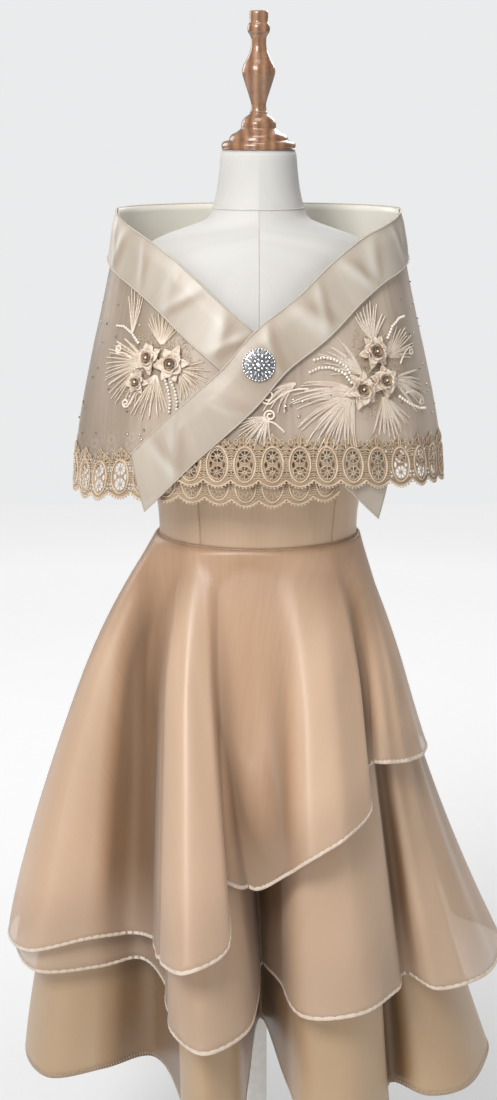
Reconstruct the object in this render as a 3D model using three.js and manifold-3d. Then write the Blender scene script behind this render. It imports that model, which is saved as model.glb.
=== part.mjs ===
// A tiered satin and organza dress with its wrapped capelet, on a limbless dress form and its stand.
// Millimetres, +Z up. The front faces -Y, +X is the viewer's right, and the floor is Z = 0 under the pole.
import * as THREE from "three";
import { mergeVertices } from "three/addons/utils/BufferGeometryUtils.js";
import Module from "manifold-3d";

const wasm = await Module();
wasm.setup();

// Driving dimensions
const waistHeight = 1020; // floor to waist seam
const organzaWall = 1.2;
const satinWall = 1.6;
const seamGap = 0.3; // left between pieces that are sewn together
const formGap = 1.4; // between the form and the bodice on it
const layerGap = 2.3; // outer face to outer face of two skirt layers at the waist
const hemSpread = 9; // how much further apart those faces are at the hem
const seamRoll = { out: 2.3, halfWidth: 3.4, halfHeight: 2.7 }; // corded waist seam
const formBottom = -160; // every height below is measured from the waist seam
const stand = { baseRadius: 190, baseHeight: 14, hubRadius: 24, hubHeight: 34, poleRadius: 12.5, plateRadius: 45,
  plateHeight: 6 };
const bandWidth = 55; // folded collar band of the capelet
const bandSkew = 32; // how far the band's pointed end runs past a square end
const lapLift = 7; // how far the upper front of the capelet lies over the lower one
const lace = { pitch: 27.8, height: 58, valley: 45, dip: 7, wall: 1.1, ovalHigh: 24, cell: 8, cellHigh: 7, bar: 1.4 };
const laceLift = 1.9; // lace and band lie this far out from the organza
const bandLift = 3.9;
const brooch = { height: 218, radius: 19, depth: 9, clearance: 0.9 };
const skirtColumns = 46; // of each half of a skirt layer

const degrees = Math.PI / 180;

// Tables are given as rows under named columns
function table(names, rows) {
  return rows.map((row) => Object.fromEntries(names.map((name, i) => [name, row[i]])));
}

// Smooth value of one column at a place along another
function between(rows, by, at, name) {
  const last = rows.length - 1;
  const place = THREE.MathUtils.clamp(at, rows[0][by], rows[last][by]);
  let i = 0;
  while (i < last - 1 && rows[i + 1][by] < place) i += 1;
  const slope = (j) => {
    const before = rows[Math.max(j - 1, 0)];
    const after = rows[Math.min(j + 1, last)];
    return (after[name] - before[name]) / (after[by] - before[by]);
  };
  const span = rows[i + 1][by] - rows[i][by];
  const t = (place - rows[i][by]) / span;
  const rise = t * t * (3 - 2 * t);
  const start = rows[i][name] * (1 - rise) + slope(i) * span * t * (1 - t) * (1 - t);
  return start + rows[i + 1][name] * rise - slope(i + 1) * span * t * t * (1 - t);
}

const smooth = (t) => THREE.MathUtils.smoothstep(t, 0, 1);
const evenly = (count, from = 0, to = 1) =>
  Array.from({ length: count }, (_, i) => from + ((to - from) * i) / (count - 1));

// Oval outline at an angle from the front, with its own depth in front and behind
function oval(size, angle, centre = 0) {
  const depth = Math.cos(angle) > 0 ? size.front : size.back;
  return new THREE.Vector2(size.half * Math.sin(angle), centre - depth * Math.cos(angle));
}

function geometryFrom(points, faces) {
  const geometry = new THREE.BufferGeometry();
  geometry.setAttribute("position", new THREE.Float32BufferAttribute(points.flatMap((p) => [p.x, p.y, p.z]), 3));
  geometry.setIndex(faces.flat());
  geometry.computeVertexNormals();
  return geometry;
}

// Direction of a row of points at one of them, true up to the row's ends
function course(count, i, pointAt) {
  if (count > 2 && i === 0) {
    return pointAt(1).clone().multiplyScalar(4).addScaledVector(pointAt(0), -3).sub(pointAt(2));
  }
  if (count > 2 && i === count - 1) {
    return pointAt(i).clone().multiplyScalar(3).addScaledVector(pointAt(i - 1), -4).add(pointAt(i - 2));
  }
  const before = Math.max(i - 1, 0);
  const after = Math.min(i + 1, count - 1);
  return pointAt(after).clone().sub(pointAt(before));
}

// Closed cloth wall through outer points, rows running down and columns anticlockwise as seen from above
function wall(downs, alongs, outerAt, thickness) {
  const rows = downs.length;
  const columns = alongs.length;
  const outer = downs.map((down) => alongs.map((along) => outerAt(down, along)));
  const points = outer.flat();
  for (let r = 0; r < rows; r += 1) {
    for (let c = 0; c < columns; c += 1) {
      const across = course(columns, c, (i) => outer[r][i]);
      const down = course(rows, r, (i) => outer[i][c]);
      const normal = down.cross(across).normalize();
      points.push(outer[r][c].clone().addScaledVector(normal, -thickness));
    }
  }
  const out = (r, c) => r * columns + c;
  const inn = (r, c) => (rows + r) * columns + c;
  const faces = [];
  const quad = (a, b, c, d) => faces.push([a, b, c], [a, c, d]);
  const lastRow = rows - 1;
  const lastColumn = columns - 1;
  for (let c = 0; c < lastColumn; c += 1) {
    for (let r = 0; r < lastRow; r += 1) {
      quad(out(r, c), out(r + 1, c), out(r + 1, c + 1), out(r, c + 1));
      quad(inn(r, c), inn(r, c + 1), inn(r + 1, c + 1), inn(r + 1, c));
    }
    quad(out(0, c), out(0, c + 1), inn(0, c + 1), inn(0, c));
    quad(out(lastRow, c + 1), out(lastRow, c), inn(lastRow, c), inn(lastRow, c + 1));
  }
  for (let r = 0; r < lastRow; r += 1) {
    quad(out(r + 1, 0), out(r, 0), inn(r, 0), inn(r + 1, 0));
    quad(out(r, lastColumn), out(r + 1, lastColumn), inn(r + 1, lastColumn), inn(r, lastColumn));
  }
  return geometryFrom(points, faces);
}

// Closed solid through level rings, from the bottom up
function loft(rings) {
  const count = rings[0].length;
  const points = rings.flat();
  const middle = (ring) => ring.reduce((sum, p) => sum.add(p), new THREE.Vector3()).divideScalar(count);
  const bottom = points.push(middle(rings[0])) - 1;
  const top = points.push(middle(rings.at(-1))) - 1;
  const faces = [];
  for (let c = 0; c < count; c += 1) {
    const next = (c + 1) % count;
    for (let r = 0; r < rings.length - 1; r += 1) {
      const low = r * count;
      const high = low + count;
      faces.push([low + c, low + next, high + next], [low + c, high + next, high + c]);
    }
    const high = (rings.length - 1) * count;
    faces.push([next, c, bottom], [high + c, high + next, top]);
  }
  return geometryFrom(points, faces);
}

function lathe(profile, segments = 32) {
  const geometry = new THREE.LatheGeometry(profile.map(([r, z]) => new THREE.Vector2(r, z)), segments);
  return geometry.rotateX(Math.PI / 2);
}

// Dress form, with the neck running up to its wooden cap
const formSections = table(["z", "half", "front", "back"], [
  [formBottom, 136, 86, 104],
  [-110, 135, 89, 103],
  [-55, 126, 91, 97],
  [0, 116, 92, 88],
  [60, 121, 97, 94],
  [130, 132, 108, 102],
  [200, 139, 116, 106],
  [225, 141, 110, 107],
  [250, 143, 101.5, 107],
  [300, 146, 86, 100],
  [326, 142, 78, 90],
  [343, 128, 71, 80],
  [354, 106, 66, 72],
  [363, 80, 61, 65],
  [371, 60, 56, 58],
  [384, 53, 51, 52],
  [410, 47, 46, 47],
  [449, 43, 43, 43],
]);
const formColumns = 22;
const formRingStep = 20; // between the form's rings under the bodice

function onForm(z, angle, out) {
  const size = { half: between(formSections, "z", z, "half") + out };
  size.front = between(formSections, "z", z, "front") + out;
  size.back = between(formSections, "z", z, "back") + out;
  const plan = oval(size, angle);
  return new THREE.Vector3(plan.x, plan.y, z);
}

function dressForm() {
  const under = evenly(14, -formRingStep, formRingStep * 12);
  const levels = [...formSections.map((row) => row.z).filter((z) => z < -50 || z > 245), ...under];
  levels.sort((a, b) => a - b);
  const rings = levels.map((z) => evenly(formColumns + 1, 0, 360)
    .slice(0, -1)
    .map((angle) => onForm(z, angle * degrees, 0)));
  return loft(rings);
}

// Bodice, strapless, cut in six panels with seams over the bust and a zip behind
const bodiceOut = formGap + satinWall;
const bodiceTop = table(["angle", "z"], [[0, 236], [55, 222], [90, 206], [135, 196], [180, 192]]);
const zipHalf = 1.6; // degrees
const bodicePanels = table(["name", "from", "to", "columns"], [
  ["bodice_side_front_left", -90, -35, 7],
  ["bodice_centre_front", -35, 47, 10],
  ["bodice_side_front_right", 47, 90, 6],
  ["bodice_back_right", 90, 180 - zipHalf, 10],
  ["back_zip", 180 - zipHalf, 180 + zipHalf, 2],
  ["bodice_back_left", 180 + zipHalf, 270, 10],
]);

function bodicePanel({ from, to, columns }) {
  const seam = 0.1; // degrees that leave the seam gap
  const low = seamRoll.halfHeight + seamGap;
  return wall(evenly(8), evenly(columns, from + seam, to - seam), (down, turn) => {
    const side = Math.abs(((turn + 180) % 360) - 180);
    const high = between(bodiceTop, "angle", turn > 180 ? 360 - turn : side, "z");
    return onForm(THREE.MathUtils.lerp(high, low, down), turn * degrees, bodiceOut);
  }, satinWall);
}

// Body shape that the skirt follows before its folds open
const hipShape = table(["depth", "half", "front", "back"], [
  [0, 118.4, 94.4, 90.4],
  [60, 131, 97, 103],
  [120, 141, 98, 110],
  [180, 146, 98, 113],
  [700, 146, 98, 113],
]);

// Where each fold of a layer's hem lies in front: turn is its place on the waist in degrees from the front,
// x and y its place in plan, drop its depth below the waist, and opens how late the fold widens
const foldNames = ["turn", "x", "y", "drop", "opens"];
const underFolds = table(foldNames, [
  [-90, -300, -30, 680, 0.8],
  [-83, -262, -106, 680, 0.8],
  [-77, -192, -98, 672, 0.9],
  [-66, -134, -82, 664, 1],
  [-50, -94, -170, 672, 1.05],
  [-44, -86, -272, 682, 1.05],
  [-38, -58, -320, 686, 1.05],
  [-31, -24, -282, 680, 1.05],
  [-22, -12, -190, 640, 1],
  [-8, 4, -92, 604, 1],
  [8, 34, -164, 650, 1],
  [19, 62, -226, 676, 1],
  [31, 112, -232, 682, 1],
  [43, 156, -182, 682, 1],
  [54, 166, -122, 676, 1.2],
  [63, 208, -146, 680, 1.4],
  [73, 256, -128, 682, 1.6],
  [82, 288, -74, 680, 1.6],
  [90, 298, -14, 680, 1.6],
]);
const middleFolds = table(foldNames, [
  [-90, -306, -34, 528, 0.8],
  [-83, -270, -118, 527, 0.8],
  [-77, -198, -114, 524, 0.9],
  [-66, -146, -98, 520, 1],
  [-50, -106, -182, 520, 1.05],
  [-44, -98, -276, 516, 1.05],
  [-38, -62, -328, 514, 1.05],
  [-31, -16, -288, 514, 1.05],
  [-22, 0, -204, 518, 1],
  [-8, 6, -106, 508, 1],
  [8, 24, -162, 512, 1],
  [19, 52, -238, 520, 1],
  [31, 118, -242, 514, 1],
  [43, 163, -186, 515, 1],
  [54, 180, -136, 520, 1.2],
  [63, 212, -162, 526, 1.4],
  [73, 264, -142, 525, 1.6],
  [82, 298, -84, 530, 1.6],
  [90, 310, -16, 529, 1.6],
]);
const topFolds = table(foldNames, [
  [-90, -314, -46, 508, 0.8],
  [-83, -276, -128, 494, 0.8],
  [-77, -204, -128, 478, 0.85],
  [-66, -152, -114, 478, 0.9],
  [-50, -112, -194, 452, 1],
  [-44, -106, -288, 426, 1],
  [-38, -80, -336, 411, 1],
  [-31, -34, -300, 402, 1],
  [-22, -34, -216, 350, 1],
  [-8, -4, -212, 372, 1],
  [8, 34, -218, 350, 1],
  [19, 60, -240, 322, 1],
  [31, 98, -228, 302, 1],
  [43, 128, -180, 290, 1],
  [54, 124, -134, 250, 1.1],
  [63, 150, -134, 248, 1.2],
  [73, 178, -112, 254, 1.3],
  [82, 202, -66, 262, 1.4],
  [90, 208, -10, 268, 1.4],
]);
// Folds behind, shared by the layers
const backFolds = table(["turn", "radius"], [
  [101, 246],
  [116, 292],
  [135, 168],
  [158, 304],
  [182, 150],
  [205, 300],
  [228, 162],
  [248, 306],
  [259, 262],
]);

// A skirt layer: its closed hem curve, and the cloth between that and the waist
function skirtLayer(front, outset, lowerReach) {
  const right = front.at(-1);
  const left = front[0];
  const reachAtSeam = (right.x - left.x) / 2;
  const reachUnder = (underFolds.at(-1).x - underFolds[0].x) / 2;
  const back = backFolds.map(({ turn, radius }) => {
    const round = (turn - 90) / 180;
    const far = (radius + outset) * THREE.MathUtils.lerp(right.x / reachUnder, -left.x / reachUnder, round);
    const drop = THREE.MathUtils.lerp(right.drop, left.drop, smooth(round));
    const opens = THREE.MathUtils.lerp(right.opens, left.opens, round);
    const narrow = THREE.MathUtils.lerp(reachAtSeam / reachUnder, 1, smooth(round * 2));
    const plan = oval({ half: far, front: far, back: far * Math.min(1, narrow) }, turn * degrees);
    return { turn, x: plan.x, y: plan.y, drop, opens };
  });
  const stations = [...front, ...back];
  const hem = new THREE.CatmullRomCurve3(stations.map((s) => new THREE.Vector3(s.x, s.y, -s.drop)), true);
  const value = (name, u) => {
    const place = u * stations.length;
    const i = Math.floor(place) % stations.length;
    const next = (i + 1) % stations.length;
    const end = name === "turn" && next === 0 ? stations[0].turn + 360 : stations[next][name];
    return THREE.MathUtils.lerp(stations[i][name], end, place - Math.floor(place));
  };
  const outerAt = (u, down) => {
    const end = hem.getPoint(u % 1);
    const depth = -end.z * down;
    const body = Object.fromEntries(["half", "front", "back"].map((name) =>
      [name, between(hipShape, "depth", depth, name)]));
    const start = oval(body, value("turn", u % 1) * degrees);
    const opens = value("opens", u % 1);
    const open = opens < 1 ? 1 - (1 - down) ** (1 / opens) : down ** opens;
    const plan = start.lerp(new THREE.Vector2(end.x, end.y), open);
    if (lowerReach) {
      const least = lowerReach(Math.atan2(plan.x, -plan.y), depth);
      plan.setLength(Math.max(plan.length(), least));
    }
    return new THREE.Vector3(plan.x, plan.y, -Math.max(depth, seamRoll.halfHeight + seamGap));
  };
  return { hem, outerAt, seams: [0, (front.length - 1) / stations.length] };
}

// How far out from the pole the next layer has to stay, by angle and depth, to lie over this one
function reachOver(layer) {
  const angles = 240;
  const samples = 720;
  const levelStep = 20;
  const levels = Array.from({ length: 28 }, (_, i) => i * levelStep);
  const far = levels.map((depth) => {
    const gap = layerGap + (hemSpread * depth) / levels.at(-1);
    const plan = evenly(samples + 1).slice(0, -1).map((u) => {
      const drop = -layer.hem.getPoint(u).z;
      return layer.outerAt(u, Math.min(depth / drop, 1));
    });
    const reach = new Array(angles).fill(0);
    const grown = plan.map((p, i) => {
      const before = plan.at(i - 1);
      const after = plan[(i + 1) % samples];
      const side = new THREE.Vector2(after.y - before.y, before.x - after.x).setLength(gap);
      return new THREE.Vector2(p.x + side.x, p.y + side.y);
    });
    grown.forEach((p, i) => {
      const q = grown[(i + 1) % samples];
      const from = Math.atan2(p.x, -p.y);
      const turn = Math.atan2(p.x * -q.y - q.x * -p.y, p.x * q.x + p.y * q.y) * -1;
      const steps = Math.max(2, Math.ceil(Math.abs(turn) * angles));
      for (let s = 0; s <= steps; s += 1) {
        const bin = Math.round((((from + (turn * s) / steps) / (2 * Math.PI)) + 1) * angles) % angles;
        const radius = THREE.MathUtils.lerp(p.length(), q.length(), s / steps);
        reach[bin] = Math.max(reach[bin], radius);
      }
    });
    return reach;
  });
  return (angle, depth) => {
    const level = Math.min(depth / levelStep, levels.length - 1.001);
    const place = (angle / (2 * Math.PI) + 1) * angles;
    const row = far[Math.floor(level)];
    const below = far[Math.floor(level) + 1];
    const bin = Math.floor(place);
    const pick = (from) => THREE.MathUtils.lerp(from[bin % angles], from[(bin + 1) % angles], place - bin);
    return THREE.MathUtils.lerp(pick(row), pick(below), level - Math.floor(level));
  };
}

const underLayer = skirtLayer(underFolds, 0);
const middleLayer = skirtLayer(middleFolds, 6, reachOver(underLayer));
const topLayer = skirtLayer(topFolds, 8, reachOver(middleLayer));

// Places along a layer's hem, the same for every layer, equally far apart on the longest one
function spread(from, to) {
  const fine = evenly(600, from, to);
  const lengths = [0];
  for (let i = 1; i < fine.length; i += 1) {
    const step = underLayer.hem.getPoint(fine[i] % 1).distanceTo(underLayer.hem.getPoint(fine[i - 1] % 1));
    lengths.push(lengths[i - 1] + step);
  }
  const inset = seamGap * 4.4; // the hem is 4.4 times the waist, so the gap stays open at the waist
  return evenly(skirtColumns, inset, lengths.at(-1) - inset).map((target) => {
    const i = Math.max(1, lengths.findIndex((length) => length >= target));
    const t = (target - lengths[i - 1]) / (lengths[i] - lengths[i - 1]);
    return THREE.MathUtils.lerp(fine[i - 1], fine[i], t);
  });
}

function skirtHalf(layer, from, to, rows, thickness) {
  const downs = evenly(rows).map((down) => Math.max(down, 0.004));
  return wall(downs, spread(from, to), (down, u) => layer.outerAt(u, down), thickness);
}

function waistSeam() {
  const sides = 6;
  const body = hipShape[0];
  const downs = evenly(sides + 1, 0, 360).slice(0, -1);
  const turns = evenly(37, 0, 360).slice(0, -1);
  const points = turns.flatMap((turn) => downs.map((round) => {
    const out = seamRoll.out + seamRoll.halfWidth * Math.cos(round * degrees);
    const plan = oval({ half: body.half + out, front: body.front + out, back: body.back + out }, turn * degrees);
    return new THREE.Vector3(plan.x, plan.y, seamRoll.halfHeight * Math.sin(round * degrees));
  }));
  const faces = [];
  for (let t = 0; t < turns.length; t += 1) {
    for (let s = 0; s < sides; s += 1) {
      const a = t * sides + s;
      const b = t * sides + ((s + 1) % sides);
      const c = ((t + 1) % turns.length) * sides + ((s + 1) % sides);
      const d = ((t + 1) % turns.length) * sides + s;
      faces.push([a, d, c], [a, c, b]);
    }
  }
  return geometryFrom(points, faces);
}

// Capelet: an oval shell round the shoulders. Along is measured on the cloth from the centre front
const capeSections = table(["z", "half", "front", "back"], [
  [20, 219, 158, 142],
  [70, 218, 158, 141],
  [120, 214, 151, 139],
  [165, 207, 140.5, 137],
  [200, 200, 130.8, 135],
  [225, 194.5, 125.5, 133],
  [256, 187, 118.5, 130],
  [300, 177, 107.5, 124],
  [330, 171, 101, 119],
  [382, 163, 91, 113],
]);
const capeCentre = 10; // the shell's middle lies this far behind the form's
const capeGirthHeight = 200; // the cloth is measured at this height
const girthSteps = 360;

function capeShell(z, angle) {
  const size = Object.fromEntries(["half", "front", "back"].map((name) =>
    [name, between(capeSections, "z", z, name)]));
  const plan = oval(size, angle, capeCentre);
  return new THREE.Vector3(plan.x, plan.y, z);
}

const girth = [0];
for (let i = 1; i <= girthSteps; i += 1) {
  const step = capeShell(capeGirthHeight, i * degrees).distanceTo(capeShell(capeGirthHeight, (i - 1) * degrees));
  girth.push(girth[i - 1] + step);
}
const fullGirth = girth[girthSteps];
const sideAlong = girth[90];

function capeAngle(along) {
  const length = ((along % fullGirth) + fullGirth) % fullGirth;
  const i = Math.min(girthSteps, Math.max(1, girth.findIndex((g) => g >= length)));
  return (i - 1 + (length - girth[i - 1]) / (girth[i] - girth[i - 1])) * degrees;
}

function onCape(along, z, out) {
  const angle = capeAngle(along);
  const point = capeShell(z, angle);
  const across = capeShell(z, angle + degrees).sub(capeShell(z, angle - degrees));
  const up = capeShell(z + 2, angle).sub(capeShell(z - 2, angle));
  return point.addScaledVector(across.cross(up).normalize(), out);
}

// The upper front lies over the lower one, and comes back to it at the shoulder
const lapOut = (along) => lapLift * smooth((235 - along) / 75);

// Top edges of the two fronts, from the shoulder to the band's free end, as they lie on the shell
const edgeNames = ["along", "z"];
const lowerEdge = table(edgeNames, [
  [-sideAlong, 382],
  [-180, 360],
  [-133, 341],
  [-93, 318],
  [-48, 285],
  [-5, 253],
  [42, 210],
  [95, 158],
  [146, 104],
]);
const upperEdge = table(edgeNames, [
  [-136, 115],
  [-95, 159],
  [-42, 211],
  [-5, 253],
  [47, 290],
  [95, 327],
  [142, 353],
  [185, 366],
  [sideAlong, 382],
]);
// Lower edge of the lace under each front, from left to right
const lowerHem = table(edgeNames, [
  [-526, 62],
  [-262, 60],
  [-200, 55],
  [-150, 64],
  [-60, 67],
  [0, 64],
  [60, 68],
  [110, 76],
]);
const upperHem = table(edgeNames, [
  [-110, 87],
  [60, 86],
  [130, 80],
  [200, 74],
  [262, 68],
  [526, 62],
]);
const netTop = lace.valley; // the organza ends behind the top of the lace

function capeFront(edge, hem, from, to, columns, out) {
  return wall(evenly(5), evenly(columns, from, to), (down, along) => {
    const high = between(edge, "along", along, "z") - seamGap;
    const low = between(hem, "along", along, "z") + netTop;
    return onCape(along, THREE.MathUtils.lerp(high, low, down), out(along));
  }, organzaWall);
}

function capeBack() {
  const high = 382 - seamGap;
  return wall(evenly(5), evenly(26, sideAlong + seamGap, fullGirth - sideAlong - seamGap), (down, along) => {
    return onCape(along, THREE.MathUtils.lerp(high, 62 + netTop, down), 0);
  }, organzaWall);
}

// Folded band: it leaves the edge close to the organza and lies further out where the lace is under it
function bandOut(across) {
  return laceLift + (bandLift - laceLift) * smooth(across / (bandWidth * 0.35));
}

function capeBand(edge, columns, freeEnd, out) {
  const line = new THREE.CatmullRomCurve3(edge.map((row) => new THREE.Vector3(row.along, row.z, 0)));
  return wall(evenly(4), evenly(columns, 0.001, 0.999), (down, t) => {
    const place = line.getPointAt(t);
    const course = line.getTangentAt(t);
    const across = down * bandWidth;
    const nearEnd = freeEnd < 0.5 ? 1 - t : t;
    const slide = bandSkew * down * smooth((nearEnd - 0.55) / 0.45) * (freeEnd < 0.5 ? -1 : 1);
    const square = smooth((0.22 - nearEnd) / 0.22); // towards the shoulder the band hangs straight down
    const side = new THREE.Vector2(course.y, -course.x).lerp(new THREE.Vector2(0, -1), square).normalize();
    const along = place.x + side.x * across + course.x * slide;
    const z = place.y + side.y * across + course.y * slide;
    return onCape(along, z, bandOut(across) + out(along));
  }, organzaWall);
}

function backBand() {
  return wall(evenly(3), evenly(28, sideAlong + seamGap * 2, fullGirth - sideAlong - seamGap * 2), (down, along) =>
    onCape(along, 382 - down * bandWidth, bandOut(down * bandWidth)), organzaWall);
}

// Lace border: scallops below, points above, and the two largest gaps of each oval cut through
function laceStrip(from, repeats, hem, out) {
  const half = lace.pitch / 2; // one half of a repeat, from the low point between two ovals to an oval's middle
  const point = (x, y) => new THREE.Vector2(x, y);
  const outline = [
    point(0, lace.dip),
    point(half * 0.45, lace.dip * 0.2),
    point(half, 0),
    point(half, lace.height),
    point(0, lace.valley),
  ];
  const gap = [
    point(half - lace.bar, lace.ovalHigh - lace.cellHigh),
    point(half - lace.bar, lace.ovalHigh + lace.cellHigh * 0.7),
    point(half - lace.cell, lace.ovalHigh + lace.cellHigh * 0.4),
    point(half - lace.cell, lace.ovalHigh - lace.cellHigh * 0.6),
  ];
  const flat = [...outline, ...gap];
  const cloth = THREE.ShapeUtils.triangulateShape(outline, [gap]);
  const edges = [[0, 1], [1, 2], [3, 4], [6, 5], [7, 6], [8, 7], [5, 8]];
  const points = [];
  const faces = [];
  const side = flat.length;
  const halves = repeats * 2;
  for (let i = 0; i < halves; i += 1) {
    const start = points.length;
    const mirrored = i % 2 === 1;
    for (const high of [0, lace.wall]) {
      flat.forEach((p) => {
        const x = mirrored ? (i + 1) * half - p.x : i * half + p.x;
        points.push(new THREE.Vector3(x, p.y, high));
      });
    }
    const face = (a, b, c) => faces.push((mirrored ? [c, b, a] : [a, b, c]).map((index) => start + index));
    const edge = (a, b) => {
      face(a, b, side + b);
      face(a, side + b, side + a);
    };
    cloth.forEach(([a, b, c]) => {
      face(side + a, side + b, side + c);
      face(c, b, a);
    });
    edges.forEach(([a, b]) => edge(a, b));
    if (i === 0 || i === halves - 1) edge(4, 0);
  }
  return bend(geometryFrom(points, faces), (x, y, z) => {
    const along = from + x;
    return onCape(along, between(hem, "along", along, "z") + y, out(along) + z);
  });
}

function weld(geometry) {
  const plain = geometry.clone();
  for (const name of ["normal", "uv"]) plain.deleteAttribute(name);
  return mergeVertices(plain, 1e-4);
}

// Moves every point of a flat piece to its place on the capelet
function bend(geometry, placeOf) {
  const merged = weld(geometry);
  const position = merged.attributes.position;
  for (let i = 0; i < position.count; i += 1) {
    const point = placeOf(position.getX(i), position.getY(i), position.getZ(i));
    position.setXYZ(i, point.x, point.y, point.z);
  }
  merged.computeVertexNormals();
  return merged;
}

// Raised flat-backed blossom or leaf, as rings of points round its middle
function relief(outline, heights) {
  const count = outline.length;
  const points = [new THREE.Vector3(0, 0, heights[0])];
  heights.slice(1).forEach((height, ring) => {
    const share = (ring + 1) / (heights.length - 1);
    outline.forEach((p) => points.push(new THREE.Vector3(p.x * share, p.y * share, height)));
  });
  const rim = points.length;
  outline.forEach((p) => points.push(new THREE.Vector3(p.x, p.y, 0)));
  outline.forEach((p) => points.push(new THREE.Vector3(p.x / 2, p.y / 2, 0)));
  const inner = rim + count;
  const under = points.push(new THREE.Vector3(0, 0, 0)) - 1;
  const faces = [];
  for (let c = 0; c < count; c += 1) {
    const next = (c + 1) % count;
    faces.push([0, 1 + c, 1 + next], [inner + next, inner + c, under]);
    faces.push([rim + next, rim + c, inner + c], [rim + next, inner + c, inner + next]);
    for (let start = 1; start < rim; start += count) {
      faces.push([start + c, start + count + c, start + count + next]);
      faces.push([start + c, start + count + next, start + next]);
    }
  }
  return geometryFrom(points, faces);
}

function blossom(radius) {
  const outline = evenly(11, 0, 360).slice(0, -1).map((angle) => {
    const far = radius * (1 + 0.13 * Math.cos(5 * angle * degrees));
    return new THREE.Vector2(far * Math.cos(angle * degrees), far * Math.sin(angle * degrees));
  });
  return relief(outline, [7, 8.5, 2]);
}

function leaf(length, width) {
  const outline = evenly(9, 0, 360).slice(0, -1).map((angle) => {
    const tip = Math.cos(angle * degrees);
    return new THREE.Vector2((length / 2) * tip, (width / 2) * Math.sin(angle * degrees) * (1 - 0.35 * tip));
  });
  return relief(outline, [3, 1.6]);
}

// Sewn flowers: where each blossom and leaf lies on the cloth, and which way it points
const flowerNames = ["kind", "along", "z", "turn", "length", "width"];
const rightFlowers = table(flowerNames, [
  ["blossom", 121, 188, 0, 26, 0],
  ["blossom", 147, 193, 20, 24, 0],
  ["blossom", 142, 226, 40, 26, 0],
  ["leaf", 134, 208, 60, 46, 20],
  ["leaf", 84, 186, 172, 74, 24],
  ["leaf", 70, 166, 205, 66, 22],
  ["leaf", 104, 167, 246, 46, 24],
  ["leaf", 98, 212, 150, 60, 20],
  ["leaf", 134, 246, 104, 40, 16],
  ["leaf", 173, 215, 30, 62, 20],
  ["leaf", 180, 190, -12, 58, 20],
  ["leaf", 166, 170, -48, 60, 20],
]);
const leftFlowers = table(flowerNames, [
  ["blossom", -102, 218, 0, 27, 0],
  ["blossom", -131, 223, 30, 24, 0],
  ["leaf", -117, 226, 84, 54, 20],
  ["leaf", -152, 240, 128, 46, 16],
  ["leaf", -158, 213, 184, 62, 20],
  ["leaf", -150, 193, 220, 60, 20],
  ["leaf", -116, 184, 262, 58, 24],
]);
const flowerFloat = 0.9;

function toSolid(geometry) {
  const merged = weld(geometry);
  const vertProperties = Float32Array.from(merged.attributes.position.array);
  const triVerts = Uint32Array.from(merged.index.array);
  return new wasm.Manifold(new wasm.Mesh({ numProp: 3, vertProperties, triVerts }));
}

function sewnFlowers(rows, out) {
  const pieces = rows.map((row) => {
    const flat = row.kind === "blossom" ? blossom(row.length / 2) : leaf(row.length, row.width);
    flat.rotateZ(row.turn * degrees).translate(row.along, row.z, 0);
    return toSolid(bend(flat, (x, y, z) => onCape(x, y, out(x) + flowerFloat + z)));
  });
  const mesh = pieces.reduce((all, piece) => all.add(piece)).getMesh();
  const geometry = new THREE.BufferGeometry();
  geometry.setAttribute("position", new THREE.BufferAttribute(mesh.vertProperties, 3));
  geometry.setIndex(new THREE.BufferAttribute(mesh.triVerts, 1));
  geometry.computeVertexNormals();
  return geometry;
}

// Assembly
const part = new THREE.Group();
const dress = new THREE.Group();
dress.position.z = waistHeight;
part.add(dress);

const materials = {
  enamel: { color: 0xece9e3, roughness: 0.35, metalness: 0 },
  linen: { color: 0xe1ded9, roughness: 0.9, metalness: 0 },
  wood: { color: 0x96643f, roughness: 0.3, metalness: 0 },
  satin: { color: 0xb49a80, roughness: 0.35, metalness: 0 },
  organza: { color: 0xc9b09b, roughness: 0.45, metalness: 0 },
  cape: { color: 0xa89a8a, roughness: 0.5, metalness: 0 },
  band: { color: 0xe0d6c4, roughness: 0.4, metalness: 0 },
  lace: { color: 0xc4a882, roughness: 0.7, metalness: 0 },
  blossom: { color: 0xe6d5b8, roughness: 0.6, metalness: 0 },
  silver: { color: 0xd4d6da, roughness: 0.15, metalness: 1 },
};

function add(name, geometry, finish, group = dress) {
  const mesh = new THREE.Mesh(geometry, new THREE.MeshStandardMaterial(materials[finish]));
  mesh.name = name;
  group.add(mesh);
  return mesh;
}

const poleTop = waistHeight + formBottom - seamGap;
add("stand_base", lathe([
  [0, 0],
  [stand.baseRadius, 0],
  [stand.baseRadius, stand.baseHeight * 0.5],
  [stand.baseRadius - 8, stand.baseHeight],
  [stand.hubRadius + 6, stand.baseHeight + 4],
  [stand.hubRadius, stand.hubHeight],
  [0, stand.hubHeight],
], 24), "enamel", part);
add("stand_pole", lathe([
  [0, stand.hubHeight + seamGap],
  [stand.poleRadius, stand.hubHeight + seamGap],
  [stand.poleRadius, poleTop - stand.plateHeight - 10],
  [stand.plateRadius, poleTop - stand.plateHeight],
  [stand.plateRadius, poleTop],
  [0, poleTop],
], 16), "enamel", part);

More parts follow.
